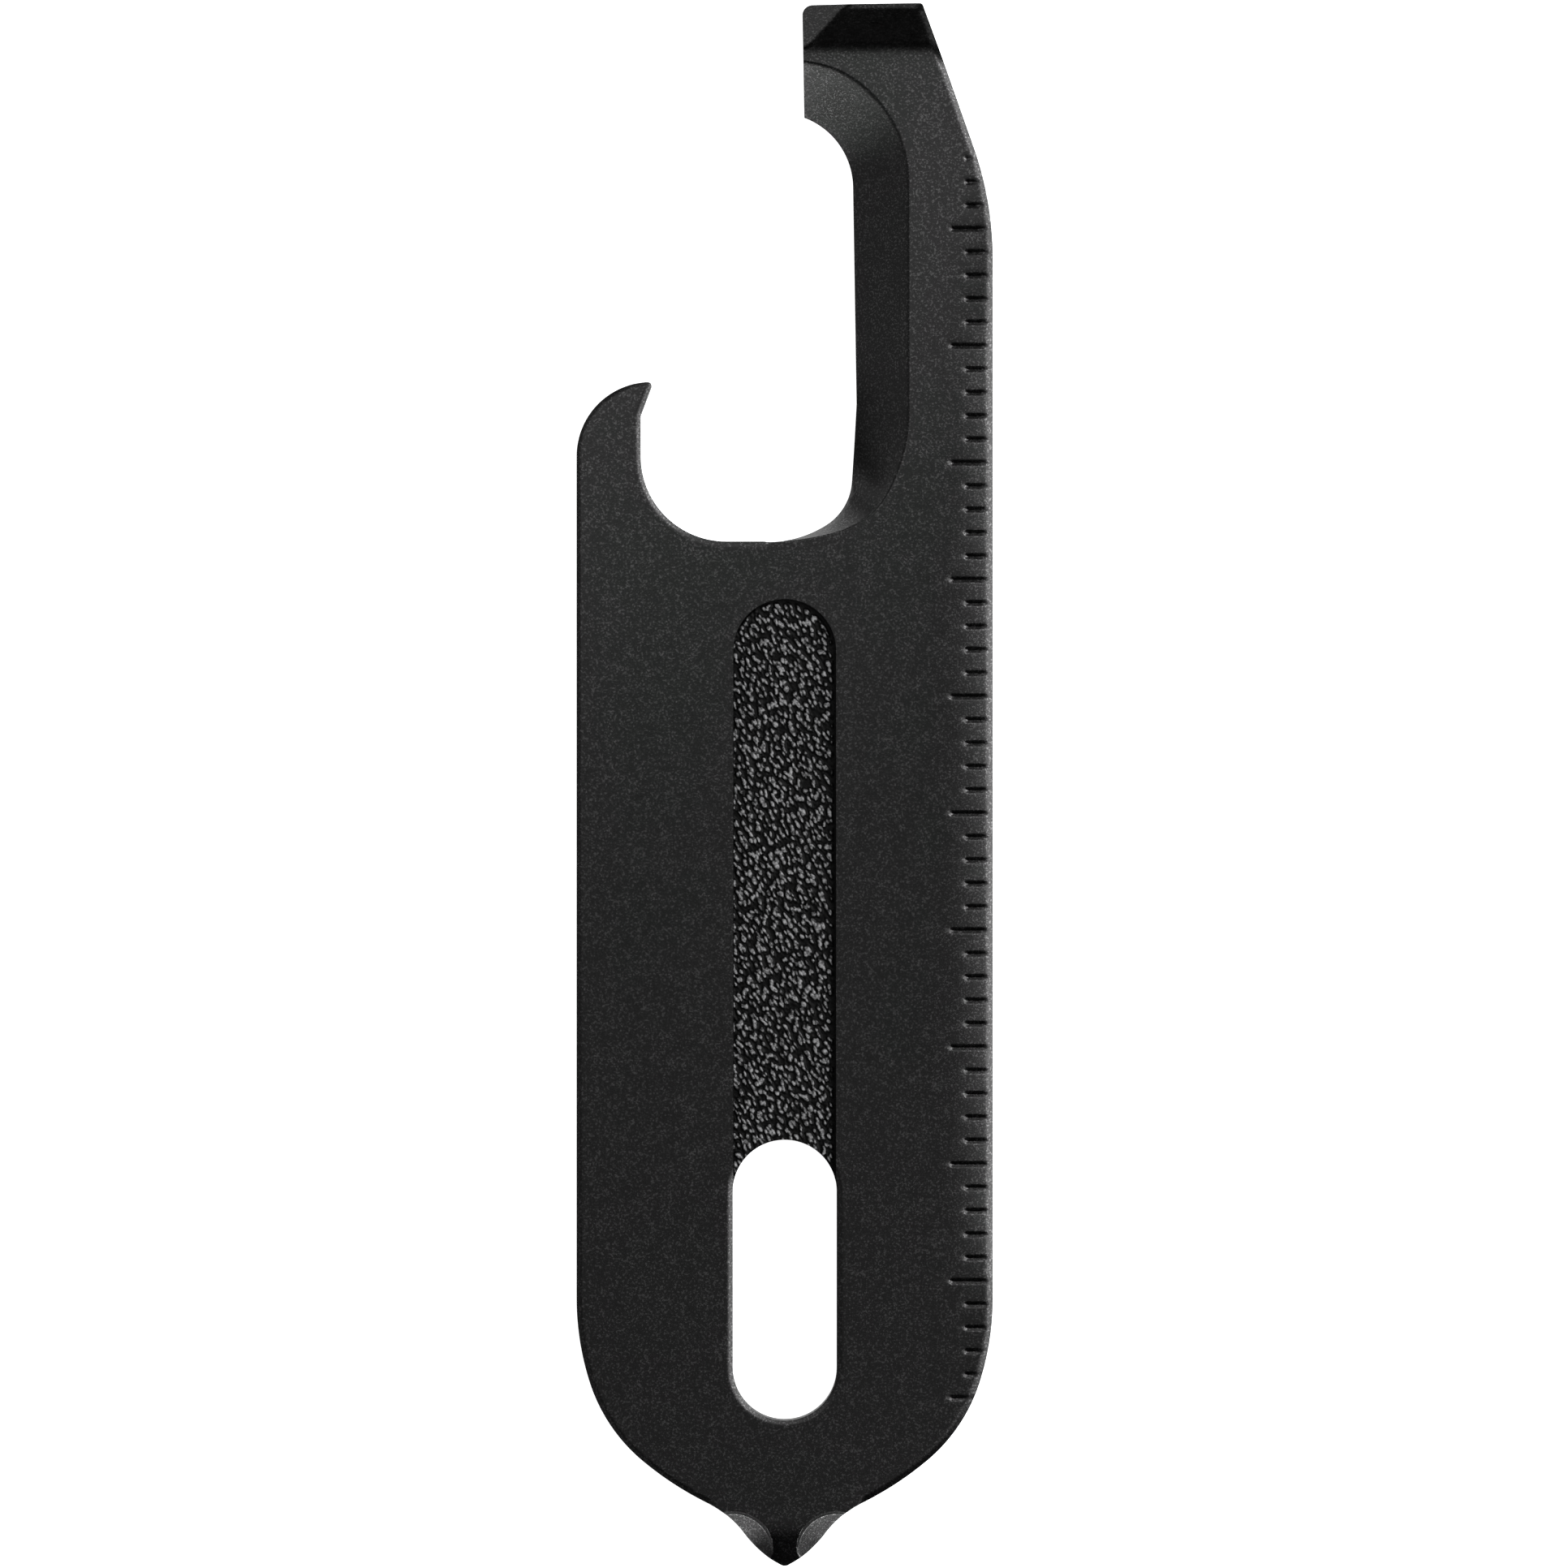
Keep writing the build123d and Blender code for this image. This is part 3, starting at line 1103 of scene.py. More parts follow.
@dataclass
class ToolBody:
    """The coated steel plate with the mouth, blade, tip, slot, pocket and ruler in it."""

    length: float = 66.9
    width: float = 17.8
    thickness: float = 2.2
    ruler_low_y: float = -22.0
    ruler_high_y: float = 22.45
    shoulder_radius: float = 14.4
    shoulder_angle: float = 19.4
    end_knots: tuple[Point, ...] = (
        (8.33, -25.61),
        (6.08, -28.94),
        (3.3, -30.75),
        (1.75, -32.05),
        (0.21, -33.38),
    )
    eased_below: int = 3
    front_ease: float = 0.25
    front_ease_soft: float = 0.12
    ruler_ease: float = 0.36
    ruler_ease_soft: float = 0.20
    slot_ease: float = 0.245
    slot_ease_soft: float = 0.07
    back_ease: float = 0.14
    back_ease_soft: float = 0.08
    ease_slope: float = 0.335
    crown_start_x: float = 5.9
    crown_end_x: float = 8.6
    crown_end_y: float = 24.0
    crown_fade: float = 6.0
    crown_drop: float = 0.15
    slot_radius: float = 2.225
    slot_low_y: float = -24.995
    slot_high_y: float = -17.445
    pocket_radius: float = 2.20
    pocket_high_y: float = 5.71
    pocket_depth: float = 0.8
    mouth: OpenerMouth = field(default_factory=OpenerMouth)
    blade: BladeEnd = field(default_factory=BladeEnd)
    tip: CrossTip = field(default_factory=CrossTip)
    ruler: EdgeRuler = field(default_factory=EdgeRuler)
    finish: CoatedSteel = field(default_factory=CoatedSteel)

    # Distances of the mesh's rows beside the edges, then the low corner, high corner and step of
    # its grids.
    EDGE_ROWS = (0.03, 0.07, 0.12, 0.17, 0.22, 0.27, 0.33, 0.42)
    SLOT_ROWS = (0.04, 0.09, 0.14, 0.19, 0.25, 0.33)
    CREST_ROWS = (-0.14, -0.10, -0.065, -0.035, 0, 0.035, 0.065, 0.1, 0.16)
    BACK_ROWS = (0.04, 0.08, 0.12, 0.17)
    FRONT_GRIDS = (
        ((-3.6, -33.4), (3.6, -30.9), 0.09),
        ((0.8, 30.7), (7.5, 33.45), 0.09),
        ((-0.7, 10.4), (5.6, 31.0), 0.22),
        ((-8.8, -33.0), (8.8, 33.0), 0.62),
    )
    BACK_GRIDS = (((-3.6, -33.4), (3.6, -30.9), 0.1), ((-8.8, -33.0), (8.8, 33.0), 0.9))

    def __post_init__(self) -> None:
        """Draws the plan curves that the heights and the meshes are worked out from."""
        shoulder, blade_side = self._shoulder()
        low, high = (self.width / 2, self.ruler_low_y), (self.width / 2, self.ruler_high_y)
        right_end = tangent_arcs(low, (0, -1), self.end_knots)
        eased_end = [arc.backwards() for arc in right_end[: self.eased_below][::-1]]
        right_side = [*eased_end, Run(low, high), shoulder]
        parts = self._outline_parts(right_end, right_side, blade_side)
        outline = np.vstack([points for points, _ in parts])
        eases = np.concatenate([np.full(len(points), ease) for points, ease in parts])
        corners = (
            (self.mouth.claw_corner, self.mouth.claw_tip_radius),
            (blade_side.end, self.blade.right_corner_radius),
        )
        for corner, radius in corners:
            outline, eases = self._round_corner(outline, eases, np.array(corner), radius)
        self.outline = PlanCurve(outline, closed=True)
        self.ease_widths = eases
        eased = eases > 0
        self.eased_edge = PlanCurve(outline[eased])
        self.eased_widths = eases[eased]
        self.ruler_edge = PlanCurve(self._cut(right_side, 0.1))
        lip = self.mouth.lip()
        lip_line = [*lip[:-1], Run(lip[-1].start, self._past_arm(), self.mouth.lip_centre)]
        self.lip_line = PlanCurve(self._cut(lip_line, 0.05))
        self.crest_line = PlanCurve(self._cut(self.mouth.crest(), 0.09))

    def _shoulder(self) -> tuple[Run, Run]:
        """The ruler edge's bend towards the blade, and the straight side after it."""
        edge_x, top_y = self.width / 2, self.length / 2
        turn = math.radians(self.shoulder_angle)
        centre = (edge_x - self.shoulder_radius, self.ruler_high_y)
        bend_end = (
            centre[0] + self.shoulder_radius * math.cos(turn),
            centre[1] + self.shoulder_radius * math.sin(turn),
        )
        corner = (bend_end[0] - (top_y - bend_end[1]) * math.tan(turn), top_y)
        return Run((edge_x, self.ruler_high_y), bend_end, centre), Run(bend_end, corner)

    def _outline_parts(
        self, right_end: list[Run], right_side: list[Run], blade_side: Run
    ) -> list[tuple[np.ndarray, float]]:
        """The plate's outline, anticlockwise from the nose, part by part.

        Args:
            right_end: Arcs from the ruler edge down to the nose.
            right_side: Runs from the eased part of that end up to the blade's side.
            blade_side: The blade's side.

        Returns:
            The points of each part and the width of its eased edge.
        """
        nose = Run(right_end[-1].end, (0, -self.length / 2), self._nose_centre())
        sharp_right = [arc.backwards() for arc in right_end[self.eased_below :][::-1]]
        low_left = [arc.mirrored() for arc in right_end]
        lip = self.mouth.lip()
        foot = (-self.width / 2, self.mouth.claw_centre_y)
        claw = tangent_arcs(foot, (0, 1), [self.mouth.claw_corner])[0]
        left_line = Run(foot, (-self.width / 2, self.ruler_low_y))
        ease = self.front_ease
        return [
            (self._cut([nose.backwards(), *sharp_right], 0.07), 0.0),
            (self._cut(right_side, 0.16, self.ruler.rows()), self.ruler_ease),
            (self._cut([blade_side], 0.12), self.ruler_ease),
            (self._cut([Run(blade_side.end, self.blade.top)], 0.08), 0.0),
            (self._cut([self.blade.left_corner()], 0.06), 0.0),
            (self._cut([Run(self.blade.side, lip[-1].end)], 0.10), 0.0),
            (self._cut([run.backwards() for run in lip[::-1]], 0.13), 0.0),
            (self._cut(self.mouth.throat(), 0.12), ease),
            (self._cut([claw.backwards()], 0.12), ease),
            (self._cut([left_line], 0.30), ease),
            (self._cut(low_left[: self.eased_below], 0.16), ease),
            (self._cut([*low_left[self.eased_below :], nose.mirrored()], 0.07), 0.0),
        ]

    def _nose_centre(self) -> Point:
        """Centre of the nose's arc, through its middle and the last knots."""
        half, rise = self.end_knots[-1][0], self.end_knots[-1][1] + self.length / 2
        radius = (half**2 + rise**2) / (2 * rise)
        return (0.0, radius - self.length / 2)

    def _past_arm(self) -> Point:
        """Where the lip's arc would pass beyond the end of the arm."""
        x, centre, radius = self.mouth.crest_end_x, self.mouth.lip_centre, self.mouth.lip_radius
        return (x, centre[1] + math.sqrt(radius**2 - (x - centre[0]) ** 2))

    @staticmethod
    def _cut(runs: list[Run], step: float, rows: np.ndarray | None = None) -> np.ndarray:
        """Points along the runs, without the first one's start."""
        return np.vstack([run.samples(step, rows) for run in runs])

    @staticmethod
    def _round_corner(
        points: np.ndarray, eases: np.ndarray, corner: np.ndarray, radius: float
    ) -> tuple[np.ndarray, np.ndarray]:
        """Replaces the points about a corner by a curve.

        Args:
            points: The closed outline.
            eases: Width of the eased edge at each point.
            corner: The corner.
            radius: Its radius.

        Returns:
            The new points and widths.
        """
        index = int(np.argmin(np.hypot(*(points - corner).T)))
        before = unit_vectors((points[index - 2] - points[index])[None])[0]
        after = unit_vectors((points[index + 2] - points[index])[None])[0]
        half = math.acos(float(np.clip(before @ after, -1, 1))) / 2
        reach = radius / math.tan(half)
        near = np.hypot(*(points - corner).T) < reach * 1.15
        first, last = np.flatnonzero(near)[[0, -1]]
        share = np.linspace(0, 1, 7)[:, None]
        start, end = corner + before * reach, corner + after * reach
        bend = (1 - share) ** 2 * start + 2 * share * (1 - share) * corner + share**2 * end
        widths = np.where(share[:, 0] < 0.5, eases[first - 1], eases[last + 1])
        points = np.vstack((points[:first], bend, points[last + 1 :]))
        return points, np.concatenate((eases[:first], widths, eases[last + 1 :]))

    def slot_distance(self, places: np.ndarray) -> np.ndarray:
        """Distance of places outside the key-ring slot from its edge."""
        x, y = places.T
        return np.hypot(x, y - np.clip(y, self.slot_low_y, self.slot_high_y)) - self.slot_radius

    def front(self, places: np.ndarray) -> np.ndarray:
        """Height of the front face over points in plan."""
        x, y = places.T
        z = self.blade.height(places, self.thickness)
        run = np.maximum(x - self.crown_start_x, 0) / (self.crown_end_x - self.crown_start_x)
        along = np.clip((self.crown_end_y - np.abs(y)) / self.crown_fade, 0, 1)
        z = z - self.crown_drop * run**3 * along * along * (3 - 2 * along)
        z = z - self._eased(places)
        z = z - self._ease(self.slot_distance(places), self.slot_ease, self.slot_ease_soft)
        z = self._with_bevel(places, z)
        low = y < self.tip.top_y
        z[low] -= self.tip.drop(places[low])
        return z

    def back(self, places: np.ndarray) -> np.ndarray:
        """Height of the back face over points in plan."""
        near = np.abs(self.eased_edge.distance(places))
        z = self._ease(near, self.back_ease, self.back_ease_soft)
        z += self._ease(self.slot_distance(places), self.back_ease, self.back_ease_soft)
        low = places[:, 1] < self.tip.top_y
        z[low] += self.tip.drop(places[low])
        return z

    def _ease(self, distance: np.ndarray, width: Any, soft: Any) -> np.ndarray:
        """Drop of an eased edge: an even slope that bends softly into the face.

        Args:
            distance: Distances from the edge.
            width: Width of the eased edge.
            soft: Width of its bend.

        Returns:
            The drop at each distance.
        """
        inward = np.maximum(width - distance, 0)
        bend = np.minimum(inward, soft)
        return self.ease_slope * (bend**2 / (2 * soft) + inward - bend)

    def _eased(self, places: np.ndarray) -> np.ndarray:
        """Drop of the front face by its eased outer edges."""
        distance = np.abs(self.eased_edge.distance(places))
        widths = self.eased_widths[self.eased_edge.nearest(places)]
        at_ruler = widths > self.front_ease + 0.01
        soft = np.where(at_ruler, self.ruler_ease_soft, self.front_ease_soft)
        return self._ease(distance, widths, soft)

    def _with_bevel(self, places: np.ndarray, z: np.ndarray) -> np.ndarray:
        """Heights with the lip's bevel cut into them."""
        low, high = self.mouth.floor_y - 0.5, self.crest_line.points[:, 1].max() + 1
        x, y = places.T
        near = (x > self.mouth.floor_end_x) & (x < 7) & (y > low) & (y < high)
        inner = np.abs(self.lip_line.distance(places[near]))
        outer = self.crest_line.distance(places[near])
        share = inner / np.maximum(inner + outer, 1e-6)
        beyond = inner + outer <= 1e-6
        rise = self.thickness - self.mouth.lip_thickness
        bevel = np.where(beyond, FAR, self.mouth.lip_thickness + rise * share)
        z[near] = soft_min(z[near], bevel, self.mouth.crest_blend)
        return z

    def _slot_parts(self) -> tuple[np.ndarray, np.ndarray]:
        """The slot's edge inside the pocket, and the rest, each anticlockwise, ends included."""
        half = self.pocket_radius
        join_y = self.slot_high_y + math.sqrt(self.slot_radius**2 - half**2)
        top, low = (0.0, self.slot_high_y), (0.0, self.slot_low_y)
        right, left = (half, join_y), (-half, join_y)
        head = (0.0, self.slot_high_y + self.slot_radius)
        foot = (0.0, self.slot_low_y - self.slot_radius)
        side = self.slot_radius
        upper = self._cut([Run(right, head, top), Run(head, left, top)], 0.16)
        lower = [
            Run(left, (-side, self.slot_high_y), top),
            Run((-side, self.slot_high_y), (-side, self.slot_low_y)),
            Run((-side, self.slot_low_y), foot, low),
            Run(foot, (side, self.slot_low_y), low),
            Run((side, self.slot_low_y), (side, self.slot_high_y)),
            Run((side, self.slot_high_y), right, top),
        ]
        return np.vstack(([right], upper)), np.vstack(([left], self._cut(lower, 0.16)))

    def _pocket_edge(self, right: np.ndarray, left: np.ndarray) -> np.ndarray:
        """The pocket's sides and round top, from right to left, ends included."""
        half, high = self.pocket_radius, self.pocket_high_y
        centre, head = (0.0, high), (0.0, high + half)
        runs = [
            Run(tuple(right), (half, high)),
            Run((half, high), head, centre),
            Run(head, (-half, high), centre),
            Run((-half, high), tuple(left)),
        ]
        return np.vstack(([right], self._cut(runs, 0.2)))

    def _clear(self, places: np.ndarray, margin: float, pocket: bool = True) -> np.ndarray:
        """The places that lie on the plate, at least a margin inside its edges."""
        x, y = places.T
        kept = (self.outline.distance(places) > margin) & (self.slot_distance(places) > margin)
        if pocket:
            low, high = self.slot_high_y, self.pocket_high_y
            from_pocket = np.hypot(x, y - np.clip(y, low, high)) - self.pocket_radius
            kept &= from_pocket > margin
        return places[kept]

    def _front_seeds(self, border: np.ndarray) -> np.ndarray:
        """Points for the front face's mesh, close together where it bends."""
        seeds = Seeds(border)
        wide = self.ease_widths > 0
        for row in self.outline.offset(self.EDGE_ROWS, wide):
            seeds.add(self._clear(row, 0.02), 0.024)
        _, lower = self._slot_parts()
        for distance in self.SLOT_ROWS:
            ring = PlanCurve(lower).offset([-distance])[0]
            arc = self._slot_arc(self.slot_radius + distance)
            seeds.add(self._clear(np.vstack((ring, arc)), 0.02), 0.03)
        for row in self.crest_line.offset(self.CREST_ROWS):
            seeds.add(self._clear(row, 0.03), 0.024)
        seeds.add(self._clear(self._facet_rows(), 0.03), 0.028)
        seeds.add(self._clear(self.tip.rings(), 0.02), 0.02)
        rows, columns = self.ruler.rows(), self.ruler.columns()
        lattice = np.array(np.meshgrid(columns, rows)).reshape(2, -1).T
        seeds.add(self._clear(lattice, 0.45), 0.03)
        for low, high, step in self.FRONT_GRIDS:
            seeds.add(self._clear(grid(low, high, step), 0.4 * step), 0.55 * step)
        return seeds.inside()

    def _slot_arc(self, radius: float) -> np.ndarray:
        """Points on a circle about the slot's upper end."""
        angles = np.radians(np.arange(-10, 191, 3.0))
        ring = radius * np.column_stack((np.cos(angles), np.sin(angles)))
        return ring + (0.0, self.slot_high_y)

    def _facet_rows(self) -> np.ndarray:
        """Points beside the facet's trace, and beside the land at the end of the blade."""
        blade = self.blade
        ys = np.arange(31.2, 33.5, 0.06)
        trace = blade.facet_top_x + blade.facet_trace * (ys - blade.ramp_high_y)
        beside = (-0.12, -0.07, -0.03, 0, 0.03, 0.07)
        rows = [np.column_stack((trace + step, ys)) for step in beside]
        xs = np.arange(0.9, 6.6, 0.08)
        for step in (-0.08, -0.04, 0, 0.04, 0.08):
            rows.append(np.column_stack((xs, np.full_like(xs, blade.ramp_high_y + step))))
        return np.vstack(rows)

    def build(self) -> bpy.types.Object:
        """Meshes the plate, presses the ruler into it and smooths it.

        Returns:
            The finished piece.
        """
        outline = self.outline.points
        upper, lower = self._slot_parts()
        pocket_edge = self._pocket_edge(upper[0], upper[-1])
        slot = np.vstack((upper[:-1], lower[:-1]))
        opening = np.vstack((pocket_edge[:-1], lower[:-1]))
        floor_loop = np.vstack((pocket_edge[:-1], upper[::-1][:-1]))
        level = Level(self.thickness - self.pocket_depth)
        shell = Shell()
        seeds = self._front_seeds(np.vstack((outline, opening)))
        shell.patch(outline, opening, seeds, self.front, upwards=True)
        floor_seeds = grid((-2.0, -16.6), (2.0, 7.6), 1.1)
        above = np.maximum(floor_seeds[:, 1] - self.pocket_high_y, 0)
        inner = np.hypot(floor_seeds[:, 0], above) < 2
        beyond = self.slot_distance(floor_seeds) > 0.2
        shell.patch(floor_loop, None, floor_seeds[inner & beyond], level, upwards=True)
        shell.patch(outline, slot, self._back_seeds(np.vstack((outline, slot))), self.back, False)
        around = np.vstack((outline, outline[:1]))
        shell.wall(around, self.back(around), self.front(around), Side.OUT)
        knees = {0: level.z, len(lower) - 1: level.z}
        shell.wall(lower, self.back(lower), self.front(lower), Side.IN, knees)
        shell.wall(upper, self.back(upper), level(upper), Side.IN)
        shell.wall(pocket_edge, level(pocket_edge), self.front(pocket_edge), Side.IN)
        mesh = shell.mesh("opener_plate")
        places = np.array([vertex.co[:2] for vertex in mesh.vertices]) / MM
        stored = mesh.attributes.new(EDGE_DISTANCE, "FLOAT", "POINT")
        distance = np.minimum(np.abs(self.ruler_edge.distance(places)), FAR)
        stored.data.foreach_set("value", (distance * MM).astype(np.float32))
        piece = place_in_scene("opener_plate", mesh)
        self.ruler.press(piece, self.thickness * 0.6, self.finish.material())
        smooth_by_angle(piece, 38)
        return piece

    def _back_seeds(self, border: np.ndarray) -> np.ndarray:
        """Points for the back face's mesh."""
        seeds = Seeds(border)
        for row in self.outline.offset(self.BACK_ROWS, self.ease_widths > 0):
            seeds.add(self._clear(row, 0.02, pocket=False), 0.03)
        upper, lower = self._slot_parts()
        slot = PlanCurve(np.vstack((upper[:-1], lower[:-1])), closed=True)
        for row in slot.offset([-distance for distance in self.BACK_ROWS]):
            seeds.add(self._clear(row, 0.02, pocket=False), 0.03)
        seeds.add(self._clear(self.tip.rings(), 0.02, pocket=False), 0.02)
        for low, high, step in self.BACK_GRIDS:
            seeds.add(self._clear(grid(low, high, step), 0.3 * step, pocket=False), 0.5 * step)
        return seeds.inside()


@dataclass
class NailFile:
    """The nail file strip in the pocket: a thin strip with a coarse slanted grain."""

    half_width: float = 2.18
    high_y: float = 5.71
    slot_centre_y: float = -17.445
    slot_radius: float = 2.225
    low_z: float = 1.5
    high_z: float = 2.0
    step: float = 0.046
    grain_across: float = 0.19
    grain_along: float = 0.36
    grain_lean: float = 27.0
    grain_height: float = 0.16
    # Width of a band along the right side and the round top where the grain sinks flat and takes
    # the dark hollow colour: partly a real sunk edge, partly a painted shadow of the pocket wall.
    sunk_shadow_band: float = 0.10
    seed_low_y: float = -17.4
    seed_high_y: float = 7.9
    seed: int = 7
    finish: FileGrain = field(default_factory=FileGrain)

    def _outline(self) -> np.ndarray:
        """The strip's plan, anticlockwise: straight sides, a round top and a hollow foot."""
        half, high = self.half_width, self.high_y
        foot_y = self.slot_centre_y + math.sqrt(self.slot_radius**2 - half**2)
        centre, foot = (0.0, high), (0.0, self.slot_centre_y)
        head, hollow = (0.0, high + half), (0.0, self.slot_centre_y + self.slot_radius)
        runs = [
            Run((half, foot_y), (half, high)),
            Run((half, high), head, centre),
            Run(head, (-half, high), centre),
            Run((-half, high), (-half, foot_y)),
            Run((-half, foot_y), hollow, foot),
            Run(hollow, (half, foot_y), foot),
        ]
        return np.vstack([run.samples(self.step) for run in runs])

    def tree(self, inputs: dict[str, Any]) -> bpy.types.NodeTree:
        """Geometry tree that raises the grain on the strip's top.

        Args:
            inputs: Values of its named inputs.

        Returns:
            The tree.
        """
        graph, given = new_tree("file_grain", inputs)
        place = graph.node("GeometryNodeInputPosition").outputs[0]
        settings = {"rotation_type": "Z_AXIS"}
        sockets = {"Vector": place, "Angle": given["Lean"]}
        turned = graph.node("ShaderNodeVectorRotate", settings, sockets).outputs[0]
        x, y = (graph.part(turned, axis) for axis in (Axis.X, Axis.Y))
        across, along = x / given["Across"], y / given["Along"]
        cell = graph.vector(across, along, 0.0)
        warp = self._noise(graph, cell, 0.55, given["Seed"])
        wave = self._noise(graph, cell, 0.8, given["Seed"] + 3.0)
        bent = graph.vector(across + 1.5 * (warp - 0.5), along + 1.2 * (wave - 0.5), 0.0)
        cells = {"voronoi_dimensions": "2D", "feature": "SMOOTH_F1"}
        sockets = {"Vector": bent, "Scale": 1.0, "Smoothness": 0.25, "Randomness": 0.95}
        near = graph.signal("ShaderNodeTexVoronoi", cells, sockets)
        rough = self._noise(graph, cell, 1.7, given["Seed"] + 9.0)
        swell = self._noise(graph, cell, 0.45, given["Seed"] + 5.0)
        bumps = 1.0 - near.smooth(0.10, 0.62)
        raised = 0.85 * bumps + 0.9 * (rough - 0.5) + 0.5 * (swell - 0.5)
        # Band on the right side and the round top only: the grain sinks there and its stored height
        # falls to 0, so it takes the dark hollow colour, a painted shadow of the pocket wall.
        aside = graph.part(place, Axis.X) + given["Sunk Shadow Band"]
        beyond = (graph.part(place, Axis.Y) + given["Sunk Shadow Band"] - given["Round Y"]).at_least(0.0)
        rim = given["Half Width"] - (aside.squared() + beyond.squared()).root()
        raised = raised.unit() * (rim / given["Sunk Shadow Band"]).unit()
        top = graph.part(place, Axis.Z) > given["Above Z"]
        lift = (raised - 1.0) * given["Height"] * top
        # The stored height sets the painted highlight and painted shade of the file's finish.
        settings = {"data_type": "FLOAT", "domain": "POINT"}
        sockets = {"Geometry": given["Geometry"], "Name": GRAIN_HEIGHT, "Value": raised}
        stored = graph.node("GeometryNodeStoreNamedAttribute", settings, sockets).outputs[0]
        sockets = {"Geometry": stored, "Offset": graph.vector(0.0, 0.0, lift)}
        lifted = graph.node("GeometryNodeSetPosition", {}, sockets).outputs[0]
        return end_tree(graph, lifted, given["Material"])

    @staticmethod
    def _noise(graph: Graph, place: Any, scale: float, seed: Any) -> Signal:
        """Noise over the grain's cells, its place in the fourth dimension set by the seed."""
        sockets = {"Vector": place, "W": seed, "Scale": scale, "Detail": 2.0}
        return graph.signal("ShaderNodeTexNoise", {"noise_dimensions": "4D"}, sockets)

    def build(self) -> bpy.types.Object:
        """Meshes the strip and raises its grain.

        Returns:
            The finished piece.
        """
        outline = self._outline()
        curve = PlanCurve(outline, closed=True)
        corners = (-self.half_width, self.seed_low_y), (self.half_width, self.seed_high_y)
        places = grid(*corners, self.step)
        inside = places[curve.distance(places) > 0.5 * self.step]
        high, low = Level(self.high_z), Level(self.low_z)
        shell = Shell()
        shell.patch(outline, None, inside, high, upwards=True)
        sparse = grid((-1.9, -15.0), (1.9, 7.2), 1.0)
        shell.patch(outline, None, sparse[curve.distance(sparse) > 0.3], low, upwards=False)
        around = np.vstack((outline, outline[:1]))
        shell.wall(around, low(around), high(around), Side.OUT)
        piece = place_in_scene("file_strip_grained", shell.mesh("file_strip_grained"))
        inputs = {
            "Across": self.grain_across * MM,
            "Along": self.grain_along * MM,
            "Lean": math.radians(-self.grain_lean),
            "Height": self.grain_height * MM,
            "Above Z": (self.low_z + self.high_z) / 2 * MM,
            "Sunk Shadow Band": self.sunk_shadow_band * MM,
            "Half Width": self.half_width * MM,
            "Round Y": self.high_y * MM,
            "Seed": self.seed,
            "Material": self.finish.material(),
        }
        bake_nodes(piece, self.tree(inputs), inputs)
        smooth_by_angle(piece, 60)
        return piece


# ---------------------------------------------------------------- studio


@dataclass(frozen=True)
class Softbox:
    """A soft light with a rectangular face that looks at the tool.

    Attributes:
        name: Its name.
        towards: Direction to it from the tool.
        distance: How far away it stands, in metres.
        size: The face's two sides, in metres.
        radiance: Brightness of its face.
    """

    name: str
    towards: tuple[float, float, float]
    distance: float
    size: tuple[float, float]
    radiance: float

    def build(self) -> None:
        """Hangs the light."""
        lamp = bpy.data.lights.new(self.name, "AREA")
        lamp.shape = "RECTANGLE"
        lamp.size, lamp.size_y = self.size
        lamp.energy = math.pi * self.size[0] * self.size[1] * self.radiance
        holder = place_in_scene(self.name, lamp)
        direction = Vector(self.towards).normalized()
        holder.location = direction * self.distance
        holder.rotation_euler = direction.to_track_quat("Z", "Y").to_euler()
        holder.visible_camera = False


@dataclass(frozen=True)
class Lobe:
    """Light from one side of the room.

    Attributes:
        axis: Component of the direction that it grows along.
        sign: 1 if it grows with the component, -1 if against it.
        reach: Where it starts, and where it is full.
        radiance: Brightness where it is full.
    """

    axis: Axis
    sign: float
    reach: tuple[float, float]
    radiance: float

    def light(self, direction: dict[Axis, Signal]) -> Signal:
        """The lobe's brightness, from the components of the direction."""
        return self.radiance * (self.sign * direction[self.axis]).smooth(*self.reach)


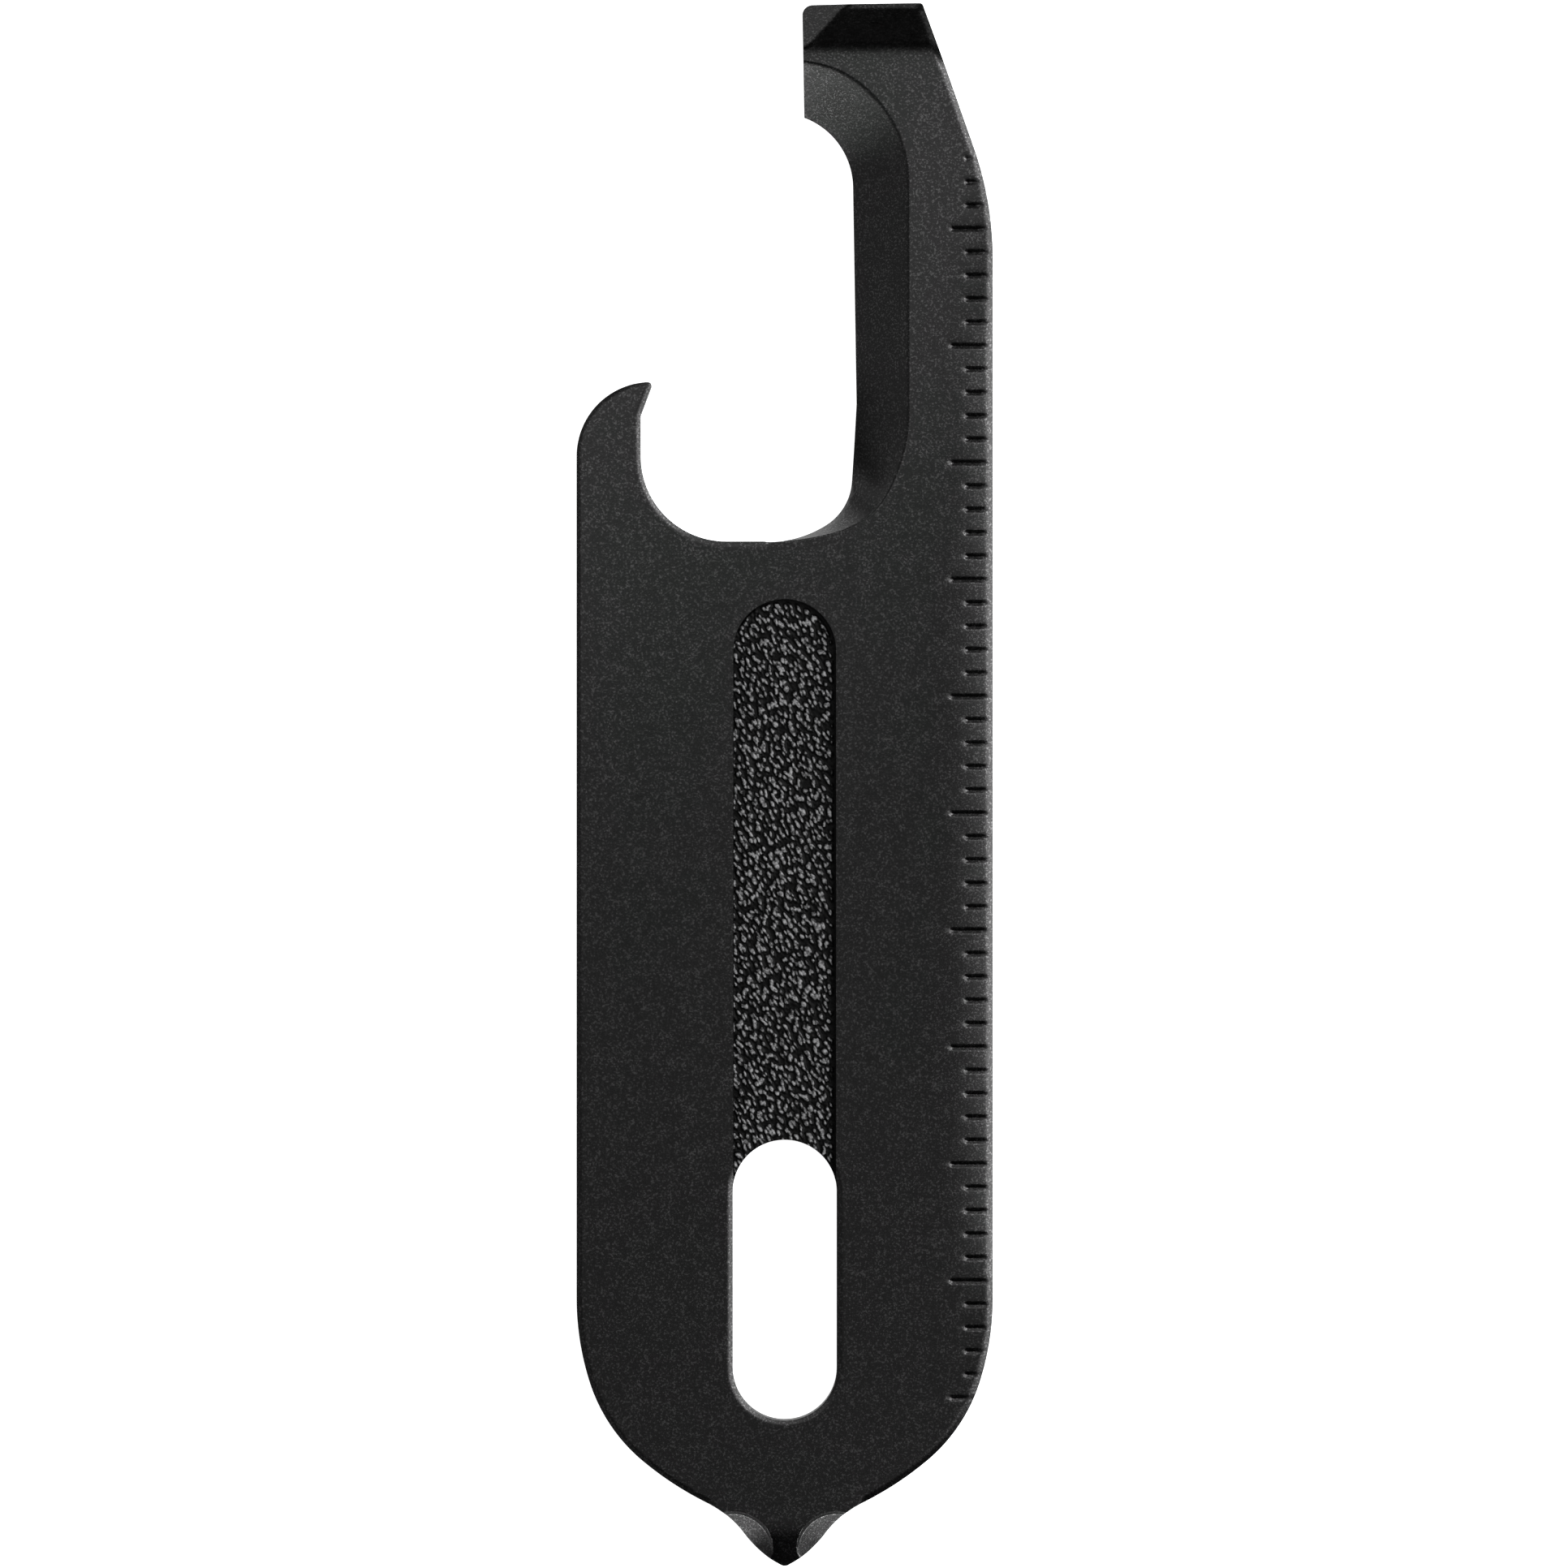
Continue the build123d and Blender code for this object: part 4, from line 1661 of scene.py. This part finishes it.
@dataclass
class Studio:
    """A white table, soft lights, a dim room and a camera straight above."""

    field_width: float = 67.04
    centre_x: float = -0.03
    lens: float = 400.0
    sensor: float = 36.0
    front_z: float = 2.2
    table_half: float = 0.6
    table_z: float = -0.00002
    softboxes: tuple[Softbox, ...] = (
        Softbox("right_softbox", (0.596, 0.084, 0.799), 0.55, (0.44, 0.15), 5.0),
        Softbox("side_softbox", (0.812, 0.114, 0.573), 0.55, (0.50, 0.15), 7.6),
        Softbox("corner_softbox", (0.418, 0.433, 0.799), 0.55, (0.22, 0.15), 4.4),
        Softbox("back_softbox", (0.042, 0.600, 0.799), 0.55, (0.24, 0.15), 1.1),
        Softbox("top_softbox", (0.06, 0.03, 0.25), 0.26, (0.26, 0.28), 0.41),
        Softbox("near_softbox", (-0.017, 0.036, 0.10), 0.107, (0.085, 0.056), 0.85),
        Softbox("ruler_softbox", (0.350, 0.0, 0.937), 0.30, (0.26, 0.05), 1.5),
    )
    front: Lobe = Lobe(Axis.Y, -1.0, (0.2, 1.0), 8.7)
    right: Lobe = Lobe(Axis.X, 1.0, (0.3, 0.9), 4.0)
    back: Lobe = Lobe(Axis.Y, 1.0, (0.6, 1.0), 1.1)
    left: Lobe = Lobe(Axis.X, -1.0, (0.2, 0.7), 0.6)
    fill: Lobe = Lobe(Axis.X, -1.0, (0.15, 0.45), 0.30)
    glow: Lobe = Lobe(Axis.Z, -1.0, (0.35, 0.6), 0.45)

    def build(self) -> None:
        """Sets up the table, the lights, the room and the camera."""
        bpy.context.scene.view_settings.view_transform = "Standard"
        self._table()
        for softbox in self.softboxes:
            softbox.build()
        self._room()
        self._camera()

    def _table(self) -> None:
        """Lays the white table top under the tool."""
        half = self.table_half
        mesh = bpy.data.meshes.new("table")
        corners = ((-half, -half), (half, -half), (half, half), (-half, half))
        mesh.from_pydata([(x, y, self.table_z) for x, y in corners], [], [(0, 1, 2, 3)])
        table = place_in_scene("table", mesh)
        material = bpy.data.materials.new("white_table")
        sockets = {
            "Base Color": (0.8, 0.8, 0.8, 1.0),
            "Roughness": 0.9,
            "Emission Color": (1.0, 1.0, 1.0, 1.0),
            "Emission Strength": 1.0,
        }
        Finish.shade(fresh_graph(material), sockets)
        mesh.materials.append(material)
        table.visible_glossy = False
        table.visible_diffuse = False

    def _room(self) -> None:
        """Lights the room low round its sides, with a fill on the left and a glow from below."""
        world = bpy.data.worlds.new("room")
        bpy.context.scene.world = world
        graph = fresh_graph(world)
        looking = graph.node("ShaderNodeTexCoord").outputs["Generated"]
        direction = {axis: graph.part(looking, axis) for axis in Axis}
        up = direction[Axis.Z]
        below_lights = 1.0 - up.smooth(0.12, 0.24)
        above_table = up.smooth(-0.15, -0.05)
        front, right, back = (lobe.light(direction) for lobe in (self.front, self.right, self.back))
        sides = below_lights * above_table * (front + right + back)
        left = self.left.light(direction) * below_lights * up.smooth(-0.42, -0.25)
        fill = self.fill.light(direction) * up.smooth(0.1, 0.3)
        light = self.glow.light(direction) + (sides + left) + fill
        sockets = {"Color": (1.0, 1.0, 1.0, 1.0), "Strength": light}
        background = graph.node("ShaderNodeBackground", {}, sockets)
        graph.node("ShaderNodeOutputWorld", {}, {"Surface": background.outputs[0]})

    def _camera(self) -> None:
        """Sets the camera straight above, with the top of the tool at the top of the frame."""
        camera = bpy.data.cameras.new("camera")
        camera.lens = self.lens
        camera.sensor_width = self.sensor
        holder = place_in_scene("camera", camera)
        height = self.front_z + self.field_width * self.lens / self.sensor
        holder.location = (self.centre_x * MM, 0.0, height * MM)
        bpy.context.scene.camera = holder


def declare(piece: bpy.types.Object, node: str) -> None:
    """Says what CAD node a finished piece stands for and reports it.

    Args:
        piece: The piece.
        node: The CAD node.
    """
    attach(piece, "root")
    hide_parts(node)
    LOG.info("%s stands for %s, %d faces", piece.name, node, len(piece.data.polygons))


def main() -> None:
    """Builds the tool and the studio."""
    logging.basicConfig(level=logging.INFO, format="%(name)s: %(message)s")
    declare(ToolBody().build(), "tool_body")
    declare(NailFile().build(), "nail_file_strip")
    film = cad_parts["file_bond_film"]
    film.data.materials.clear()
    film.data.materials.append(BondFilm().material())
    LOG.info("file_bond_film keeps its CAD shape")
    Studio().build()


if __name__ == "__main__":
    main()
